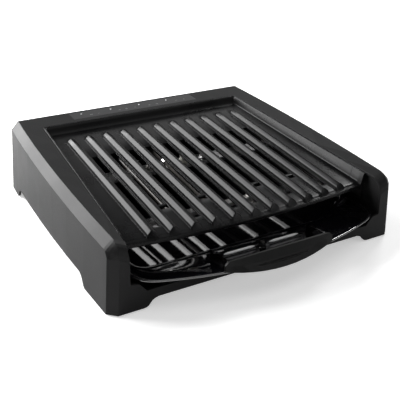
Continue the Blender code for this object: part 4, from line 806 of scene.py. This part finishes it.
        near, far = self.groove - self.groove_half, self.groove + self.groove_half
        end = self.foot_run + (self.end_run - self.foot_run) * (1 - drop / self.lip_drop)
        if drop >= self.ridge_height:
            end = self.end_run
        low = self.lip_drop + self.lip_height
        corners = [(0.0, low - self.lip_round), (0.0, ramp(0.0)), (near, ramp(near)),
                   (self.groove, ramp(near) + self.groove_depth), (far, ramp(far)),
                   (self.foot_run, ramp(self.foot_run)),
                   (end, min(drop, ramp(end))), (self.ramp_run, drop)]
        arms = [0.0, self.lip_round, self.groove_edge_round, self.groove_floor_round,
                self.groove_edge_round, self.ramp_round, self.end_round, 0.0]
        return rounded(corners, arms)

    def front_rows(self) -> list[list[Point]]:
        """Rows that follow the bowed lip, front to rear.

        Returns:
            Rows of points, each (x, place, z).
        """
        flat = self.front_profile(self.ridge_height)
        profiles = {drop: self.front_profile(drop) for _, drop in self.columns()}
        rows: list[list[Point]] = []
        for k, (run, depth) in enumerate(flat):
            place = self.lip_place(self.shelf_half) + run
            side = self.side_section(place, FORM.crest_z(place) - depth)
            if run < self.lip_round:
                fall = depth - self.lip_drop
                side = [side[0]] + [(x, z - fall) for x, z in side[1:]]
            row = [(-x, self.lip_place(x) + run, z) for x, z in reversed(side)]
            for x, drop in self.columns():
                run_here, depth_here = profiles[drop][k]
                here = self.lip_place(x) + run_here
                row.append((x, here, FORM.crest_z(here) - depth_here))
            row += [(x, self.lip_place(x) + run, z) for x, z in side]
            rows.append(row)
        return rows

    def places(self) -> list[float]:
        """Places of the straight rows, up to the rear wall's foot.

        Returns:
            The places, front to rear.
        """
        marks = (self.notch_front, self.notch_rear, self.short_front, self.slot_rear)
        places = [self.long_front + self.first_row_run, *self.plain_rows]
        for mark in marks:
            places += [mark - self.edge_step, mark, mark + self.edge_step]
        full = self.ridge_rear - self.ridge_rear_run
        places += [full + self.ridge_rear_run * share for share in self.ridge_end_shares]
        places.append(self.wall_foot - self.last_row_run)
        return sorted(places)

    def straight_row(self, place: float) -> list[Point]:
        """Top of the plate along one row that runs straight across.

        Args:
            place: distance behind the housing's front face.

        Returns:
            The row's points, each (x, place, z).
        """
        crest = FORM.crest_z(place)
        floor = crest - self.ridge_height
        past = ease((place - self.ridge_rear + self.ridge_rear_run) / self.ridge_rear_run)
        side = self.side_section(place, floor)
        row = [(-x, place, z) for x, z in reversed(side)]
        row += [(x, place, crest - drop + (drop - self.ridge_height) * past)
                for x, drop in self.columns()]
        return row + [(x, place, z) for x, z in side]

    def long_front_rows(self) -> list[list[Point]]:
        """Rows on either side of the long slots' front ends, bent where the lip needs it.

        Returns:
            Rows of points, each (x, place, z).
        """
        rows = []
        for step in (-self.edge_step, 0.0, self.edge_step):
            place = self.long_front + step
            row = []
            for x, here, z in self.straight_row(place):
                moved = max(here, self.lip_place(x) + self.ramp_run + self.edge_step + step)
                row.append((x, moved, z + FORM.crest_slope * (moved - here)))
            rows.append(row)
        return rows

    def rear_rows(self) -> list[list[Point]]:
        """Rows up the rear wall to the rim.

        Returns:
            Rows of points, each (x, place, z).
        """
        rear_in = FORM.opening_rear - self.side_gap - self.rim_flat
        foot_row = self.straight_row(self.wall_foot)
        rows = []
        for share, rise in self.rear_wall_shares:
            place = self.wall_foot + (rear_in - self.wall_foot) * share
            rim = FORM.rail_inner_z(place)
            rows.append([(p[0], place, q[2] + (rim - q[2]) * rise)
                         for p, q in zip(self.straight_row(place), foot_row)])
        end = FORM.opening_rear - self.side_gap
        rows.append([(p[0], end, FORM.rail_inner_z(end)) for p in self.straight_row(end)])
        return rows

    def is_open(self, x: float, place: float) -> bool:
        """Whether a spot of the plate lies in a slot or notch.

        Args:
            x: x of the spot.
            place: its distance behind the housing's front face.

        Returns:
            True inside a slot or notch.
        """
        for index, valley in enumerate(self.valleys()):
            off = abs(x - valley)
            if self.is_long(index):
                if off < self.slot_half and self.long_front < place < self.slot_rear:
                    return True
            elif (off < self.slot_half and self.short_front < place < self.slot_rear
                    or off < self.notch_half and self.notch_front < place < self.notch_rear):
                return True
        return False

    def build(self) -> None:
        """Build the plate and let it ride on the plate's body."""
        front = self.front_rows()
        top = front + self.long_front_rows()
        first = len(front)
        top += [self.straight_row(place) for place in self.places()]
        last = len(top)
        self.skin(top + self.rear_rows(), first, last)

    def under(self, point: Point) -> float:
        """Height of the underside below a point of the top.

        Args:
            point: the point of the top, (x, place, z).

        Returns:
            Z of the underside there.
        """
        x, place, high = point
        floor = FORM.crest_z(place) - self.ridge_height - self.floor_thick
        run = place - self.lip_place(x)
        if run < self.lip_thick:
            return FORM.crest_z(place) - self.lip_drop - self.lip_height
        if abs(x) > self.shelf_half or place > self.wall_foot - self.wall_overlap:
            wall = high - self.rim_thick * self.wall_share
            return max(floor, wall) if high - floor < self.wall_rise else wall
        return floor

    def skin(self, top: list[list[Point]], first: int, last: int) -> None:
        """Close the grid with its underside and the walls of its slots.

        Args:
            top: rows of points, front to rear, each (x, place, z).
            first: first row that runs straight across.
            last: first row of the rear wall.
        """
        skin = Skin()
        columns, rows = len(top[0]), len(top)
        opened = set()
        for j in range(first, last - 1):
            for i in range(columns - 1):
                a, b = top[j][i], top[j + 1][i + 1]
                if self.is_open((a[0] + b[0]) / 2, (a[1] + b[1]) / 2):
                    opened.add((i, j))
        edge_points = {(i + di, j + dj) for i, j in opened for di in (0, 1) for dj in (0, 1)}
        upper, lower = [], []
        for j, row in enumerate(top):
            high, low = [], []
            for i, point in enumerate(row):
                x, place, z = point
                if (i, j) in edge_points:
                    z -= self.edge_fall
                y = FORM.depth_y(place)
                high.append((x, y, z))
                low.append((x, y + (self.lip_round if j == 0 else 0.0), self.under(point)))
            upper.append(skin.ring(high))
            lower.append(skin.ring(low))
        for j in range(rows - 1):
            for i in range(columns - 1):
                if (i, j) in opened:
                    continue
                a, b, c, d = (i, j), (i + 1, j), (i + 1, j + 1), (i, j + 1)
                skin.faces.append(tuple(upper[n][m] for m, n in (a, b, c, d)))
                skin.faces.append(tuple(lower[n][m] for m, n in (d, c, b, a)))
                for (p, q), beside in (((a, b), (i, j - 1)), ((b, c), (i + 1, j)),
                                       ((c, d), (i, j + 1)), ((d, a), (i - 1, j))):
                    inside = 0 <= beside[0] < columns - 1 and 0 <= beside[1] < rows - 1
                    if not inside or beside in opened:
                        skin.faces.append((upper[q[1]][q[0]], upper[p[1]][p[0]],
                                           lower[p[1]][p[0]], lower[q[1]][q[0]]))
        skin.make("cooking_plate_casting", COATED_CAST, Body.PLATE, ["cooking_plate"],
                  self.smooth_degrees)


# Drip tray with its handle and bracket

@dataclass
class DripTray:
    """Pressed tray with a rolled rim, made again with finer curves."""

    reach: float = 0.0360
    bow_radius: float = 0.394
    half: float = 0.1700
    rear: float = 0.3050
    sheet: float = 0.0010
    bead: float = 0.0013
    bead_z: float = 0.0372
    flange_half: float = 0.1640
    flange_front: float = 0.0045
    floor_half: float = 0.1525
    fillet: float = 0.0040
    floor_front: float = 0.0386
    rear_run: float = 0.0175
    floor_z: float = 0.0262
    floor_corner: float = 0.0240
    rim_corner: float = 0.0250
    rear_corner: float = 0.0120
    mid_share: float = 0.55
    sag: float = 0.00132
    arc_steps: int = 14
    bow_steps: int = 40
    side_steps: int = 8
    fillet_shares: tuple[float, ...] = (0.25, 0.5, 0.75)
    wall_shares: tuple[float, ...] = (0.0, 0.08, 0.2, 0.35, 0.5, 0.65, 0.8, 0.92, 0.98)
    under_shares: tuple[float, ...] = (0.8, 0.5, 0.2, 0.0)
    bead_degrees: range = range(165, -106, -15)
    smooth_degrees: float = 50.0
    bar_inner: float = 0.0105
    bar_outer: float = 0.0525
    bar_place: float = 0.0092
    bar_z: float = 0.0351
    bar_radius: float = 0.0016
    bar_steps: int = 20
    bar_sides: int = 14
    bar_end: float = 0.35
    bar_taper: float = 5.0

    def rim_front(self, x: float) -> float:
        """Front of the rim: a wide bow."""
        return -self.reach + x * x / (2 * self.bow_radius)

    def outline(self, half: float, front: Callable[[float], float], rear: float,
                corner: float, rear_corner: float) -> list[Flat]:
        """Outline of the tray seen from above.

        Args:
            half: half width.
            front: place of the front edge at an x.
            rear: place of the rear edge.
            corner: size of the front corners.
            rear_corner: radius of the rear corners.

        Returns:
            Points (x, place) from the rear left, round the front, to the rear right.
        """
        points: list[Flat] = []
        for i in range(self.arc_steps + 1):
            a = pi / 2 * i / self.arc_steps
            points.append((-half + rear_corner * (1 - sin(a)),
                           rear - rear_corner * (1 - cos(a))))
        start = front(half) + corner
        run = start - rear + rear_corner
        for i in range(1, self.side_steps):
            points.append((-half, rear - rear_corner + run * i / self.side_steps))
        inner = half - corner
        for i in range(self.arc_steps + 1):
            t = i / self.arc_steps
            a, b, c = (1 - t) ** 2, 2 * t * (1 - t), t * t
            points.append((-half * (a + b) - inner * c,
                           start * a + front(half) * b + front(inner) * c))
        for i in range(1, self.bow_steps // 2 + 1):
            x = -inner + 2 * inner * i / self.bow_steps
            points.append((x, front(x)))
        mirrored = [(-x, d) for x, d in reversed(points[:-1])]
        return points + mirrored

    def rings(self) -> list[tuple[list[Flat], float]]:
        """Outlines and heights from the floor, over the rim, to the underside.

        Returns:
            An outline of (x, place) points and a height for each ring.
        """
        def at(share: float) -> tuple[list[Flat], float]:
            """Outline and height part of the way up the sloping wall.

            Args:
                share: 0 at the wall's foot, 1 at the rim.

            Returns:
                The outline and its height.
            """
            outline = [(p[0] + (q[0] - p[0]) * share, p[1] + (q[1] - p[1]) * share)
                       for p, q in zip(foot, flange)]
            rise = self.bead_z - foot_z
            return outline, foot_z + rise * share - self.sag * sin(pi * share)

        foot_z = self.floor_z + self.fillet * self.mid_share / 2
        inset = self.fillet
        inner = self.outline(self.floor_half - inset, lambda x: self.floor_front,
                             self.rear - self.rear_run - inset, self.floor_corner,
                             self.rear_corner)
        foot = self.outline(self.floor_half, lambda x: self.floor_front - inset,
                            self.rear - self.rear_run, self.floor_corner, self.rear_corner)
        flange = self.outline(self.flange_half, lambda x: self.rim_front(x) + self.flange_front,
                              self.rear - self.flange_front - self.bead, self.rim_corner,
                              self.rear_corner)
        rings = [(inner, self.floor_z)]
        for t in self.fillet_shares:
            mixed = [(p[0] + (q[0] - p[0]) * t, p[1] + (q[1] - p[1]) * t)
                     for p, q in zip(inner, foot)]
            rings.append((mixed, self.floor_z + (foot_z - self.floor_z) * t * t))
        rings += [at(share) for share in self.wall_shares]
        rings.append((flange, self.bead_z))
        for degrees in self.bead_degrees:
            a = radians(degrees)
            out = self.bead * cos(a)
            ring = self.outline(self.half - self.bead + out,
                                lambda x: self.rim_front(x) + self.bead - out,
                                self.rear - self.bead + out, self.rim_corner,
                                self.rear_corner)
            rings.append((ring, self.bead_z + self.bead * sin(a)))
        rings.append((flange, self.bead_z - self.sheet))
        for share in self.under_shares:
            outline, z = at(share)
            rings.append((outline, z - self.sheet * sqrt(2)))
        rings.append((inner, self.floor_z - self.sheet))
        return rings

    def build(self) -> None:
        """Build the tray and let it ride on the tray's body."""
        skin = Skin()
        skin.loft([[(x, FORM.depth_y(d), z) for x, d in outline]
                   for outline, z in self.rings()])
        skin.make("drip_tray_pressing", TRAY_ENAMEL, Body.TRAY, ["drip_tray"],
                  self.smooth_degrees)
        # Pale pieces along the bracket's bars: painted highlights
        self.bar("bracket_bar_highlight_left", -self.bar_outer)
        self.bar("bracket_bar_highlight_right", self.bar_inner)
        HANDLE_SOFT.dress("tray_handle")
        BRACKET_GLOSS.dress("handle_bracket")
        BRIGHT_STEEL.dress("handle_screw_left", "handle_screw_right")
        BLACK_STEEL.dress("bracket_screw")

    def bar(self, name: str, start: float) -> None:
        """Pale rounded piece along one of the bracket's raised bars, a painted highlight.

        Args:
            name: name of the piece.
            start: x of its left end.
        """
        rings = []
        for i in range(self.bar_steps + 1):
            share = i / self.bar_steps
            x = start + (self.bar_outer - self.bar_inner) * share
            radius = self.bar_radius * min(1.0, self.bar_end
                                           + self.bar_taper * min(share, 1 - share))
            angles = [2 * pi * k / self.bar_sides for k in range(self.bar_sides)]
            rings.append([(x, FORM.depth_y(self.bar_place - radius * cos(a)),
                           self.bar_z + radius * sin(a)) for a in angles])
        skin = Skin()
        skin.loft(rings)
        skin.make(name, BAR_PAINTED_HIGHLIGHT, Body.TRAY)


# Housing, control panel, feet and the parts inside

@dataclass
class ControlPanel:
    """Marked strip behind the plate: four lights and printed touch marks."""

    place: float = 0.3525
    lift: float = 0.00005
    stroke: float = 0.00045
    half: float = 0.0017
    ring_start: float = 125.0
    ring_sweep: float = 290.0
    ring_steps: int = 16
    lenses: int = 4
    smooth_degrees: float = 60.0
    marks: tuple[float, ...] = (-0.0785, -0.0666, -0.0334, -0.022, -0.008, 0.0166, 0.0294,
                                0.0627, 0.0769)

    def build(self) -> None:
        """Dress the strip and its lights and print the marks."""
        PANEL_FILM.dress("control_panel")
        LENS.dress(*numbered("indicator_lens", self.lenses))
        skin = Skin()
        tilt = Matrix.Rotation(FORM.top_tilt(), 4, "X")
        kinds = (self.ring_mark, self.bar_mark, self.plus_mark)
        for i, x in enumerate(self.marks):
            where = (x, FORM.depth_y(self.place), FORM.top_z(self.place) + self.lift)
            kinds[i % len(kinds)](skin, Matrix.Translation(where) @ tilt)
        skin.make("panel_marks", MARK_PRINT, Body.GRILL, smooth_degrees=self.smooth_degrees)

    def flat(self, skin: Skin, matrix: Matrix, outline: Sequence[Flat]) -> None:
        """Add a thin printed shape.

        Args:
            skin: the skin that it joins.
            matrix: where it lies on the strip.
            outline: its corners in the plane of the strip.
        """
        low = [matrix @ Vector((x, y, 0.0)) for x, y in outline]
        high = [matrix @ Vector((x, y, self.lift)) for x, y in outline]
        skin.loft([low, high])

    def ring_mark(self, skin: Skin, matrix: Matrix) -> None:
        """Open ring with a stroke in its gap.

        Args:
            skin: the skin that it joins.
            matrix: where it lies on the strip.
        """
        outer, inner = self.half, self.half - self.stroke
        angles = [radians(self.ring_start + self.ring_sweep * i / self.ring_steps)
                  for i in range(self.ring_steps + 1)]
        outline = ([(outer * cos(a), outer * sin(a)) for a in angles]
                   + [(inner * cos(a), inner * sin(a)) for a in reversed(angles)])
        self.flat(skin, matrix, outline)
        w = self.stroke / 2
        self.flat(skin, matrix, [(-w, 0.0), (w, 0.0), (w, outer), (-w, outer)])

    def bar_mark(self, skin: Skin, matrix: Matrix) -> None:
        """Short level bar."""
        w, h = self.half, self.stroke / 2
        self.flat(skin, matrix, [(-w, -h), (w, -h), (w, h), (-w, h)])

    def plus_mark(self, skin: Skin, matrix: Matrix) -> None:
        """Plus sign.

        Args:
            skin: the skin that it joins.
            matrix: where it lies on the strip.
        """
        w, h = self.half, self.stroke / 2
        self.flat(skin, matrix, [(-w, -h), (-h, -h), (-h, -w), (h, -w), (h, -h), (w, -h),
                                 (w, h), (h, h), (h, w), (-h, w), (-h, h), (-w, h)])


@dataclass
class Housing:
    """Moulded housing with its feet, base plate, runners and heat shield."""

    base_screws: int = 6
    shield_screws: int = 4
    runner_screws: int = 4

    def build(self) -> None:
        """Dress the housing and what is fixed to it."""
        MOULDED.dress("housing")
        RUBBER.dress("foot_front_left", "foot_rear_left", "foot_front_right",
                     "foot_rear_right")
        BLACK_STEEL.dress("base_plate", "runner_left", "runner_right", "heat_shield")
        BRIGHT_STEEL.dress(*numbered("base_screw", self.base_screws),
                           *numbered("shield_screw", self.shield_screws),
                           *numbered("runner_screw", self.runner_screws))


@dataclass
class Works:
    """Heating element, what holds it, and the electrics behind the bay."""

    clips: int = 4

    def build(self) -> None:
        """Dress the parts below and behind the plate."""
        SHEATH.dress("heating_element")
        BRIGHT_STEEL.dress("element_bar_front", "element_bar_rear",
                           *numbered("element_clip", self.clips))
        CERAMIC.dress("thermostat", "thermal_fuse", "terminal_block")
        BOARD.dress("control_board")
        RELAY_BLUE.dress("relay")
        PANEL_FILM.dress("capacitor")
        SLEEVE_BROWN.dress("wire_live")
        SLEEVE_BLUE.dress("wire_neutral")


# Camera, light and floor

@dataclass(frozen=True)
class Softbox:
    """Flat soft lamp that faces the grill; a surface of radiance 1 is white."""

    name: str
    place: Point
    size: Flat
    radiance: float

    def build(self, target: Vector) -> None:
        """Add the lamp, turned towards the target.

        Args:
            target: the spot that it faces.
        """
        data = bpy.data.lights.new(self.name, "AREA")
        data.shape = "RECTANGLE"
        data.size, data.size_y = self.size
        data.energy = self.radiance * pi * self.size[0] * self.size[1]
        lamp = bpy.data.objects.new(self.name, data)
        lamp.location = self.place
        aim = target - Vector(self.place)
        lamp.rotation_euler = aim.to_track_quat("-Z", "Y").to_euler()
        bpy.context.scene.collection.objects.link(lamp)


@dataclass
class Studio:
    """Camera at the photograph's angle, soft lamps and a pale floor."""

    camera_at: Point = (-0.4107, -0.74965, 0.4455)
    turn: float = 29.14
    pitch: float = 26.39
    roll: float = 0.0054
    lens: float = 61.97
    sensor: float = 36.0
    clip: Flat = (0.01, 60.0)
    floor_half: float = 14.0
    floor_colour: Colour = (0.90, 0.90, 0.90)
    floor_roughness: float = 0.9
    floor_specular: float = 0.1
    white: Colour = (1.0, 1.0, 1.0)
    floor_lift: float = 0.45
    glossy_share: float = 0.3
    world: float = 0.09
    lamp_target: Point = (0.0, 0.0, 0.05)
    softboxes: tuple[Softbox, ...] = (
        Softbox("key softbox", (-1.08, 1.45, 0.92), (1.8, 1.6), 12.0),
        Softbox("back softbox", (1.05, 1.95, 1.10), (1.2, 0.5), 1.1),
        Softbox("side softbox", (1.37, 0.73, 1.36), (0.6, 0.4), 16.0),
        Softbox("front softbox", (0.97, -1.67, 0.83), (0.95, 0.34), 5.0),
        Softbox("top softbox", (0.3, -0.6, 2.3), (2.2, 1.8), 0.9),
    )

    def build(self) -> None:
        """Set up the camera, the lamps, the world and the floor."""
        self.camera()
        for softbox in self.softboxes:
            softbox.build(Vector(self.lamp_target))
        self.floor()
        world = bpy.data.worlds.new("studio")
        bpy.context.scene.world = world
        world.use_nodes = True
        background = world.node_tree.nodes["Background"]
        background.inputs["Color"].default_value = (*self.white, 1.0)
        background.inputs["Strength"].default_value = self.world
        bpy.context.scene.view_settings.view_transform = "Standard"
        LOG.info("studio ready")

    def camera(self) -> None:
        """Place the camera as the photograph's was."""
        turn, pitch, s = radians(self.turn), radians(self.pitch), sin(self.roll)
        ahead = Vector((sin(turn) * cos(pitch), cos(turn) * cos(pitch), -sin(pitch)))
        right = Vector((cos(turn), -sin(turn), 0.0))
        up = right.cross(ahead)
        c = sqrt(1 - s * s)
        axes = Matrix((c * right + s * up, c * up - s * right, -ahead)).transposed()
        data = bpy.data.cameras.new("camera")
        data.lens, data.sensor_width, data.sensor_fit = self.lens, self.sensor, "HORIZONTAL"
        data.clip_start, data.clip_end = self.clip
        camera = bpy.data.objects.new("camera", data)
        camera.matrix_world = Matrix.Translation(self.camera_at) @ axes.to_4x4()
        bpy.context.scene.collection.objects.link(camera)
        bpy.context.scene.camera = camera

    def floor(self) -> None:
        """Pale floor that goes white where nothing shades it."""
        material = bpy.data.materials.new("pale floor")
        material.use_nodes = True
        w = Wiring(material.node_tree)
        shader = material.node_tree.nodes["Principled BSDF"]
        light = w.add("ShaderNodeLightPath").outputs
        seen = w.math("MAXIMUM", light["Is Camera Ray"],
                      w.math("MULTIPLY", light["Is Glossy Ray"], self.glossy_share))
        seen = w.math("MAXIMUM", seen, light["Is Transmission Ray"])
        w.feed(shader, Base_Color=(*self.floor_colour, 1.0), Roughness=self.floor_roughness,
               Specular_IOR_Level=self.floor_specular, Emission_Color=(*self.white, 1.0),
               Emission_Strength=w.math("MULTIPLY", seen, self.floor_lift))
        mesh = bpy.data.meshes.new("floor")
        h = self.floor_half
        mesh.from_pydata([(-h, -h, 0.0), (h, -h, 0.0), (h, h, 0.0), (-h, h, 0.0)], [],
                         [(0, 1, 2, 3)])
        mesh.materials.append(material)
        floor = bpy.data.objects.new("floor", mesh)
        bpy.context.scene.collection.objects.link(floor)


def main() -> None:
    """Build every sub-assembly in order and report it."""
    logging.basicConfig(level=logging.INFO, format="%(name)s: %(message)s")
    for assembly in (Studio(), Housing(), ControlPanel(), CookingPlate(), DripTray(), Works()):
        assembly.build()
        LOG.info("finished %s", type(assembly).__name__)


if __name__ == "__main__":
    main()
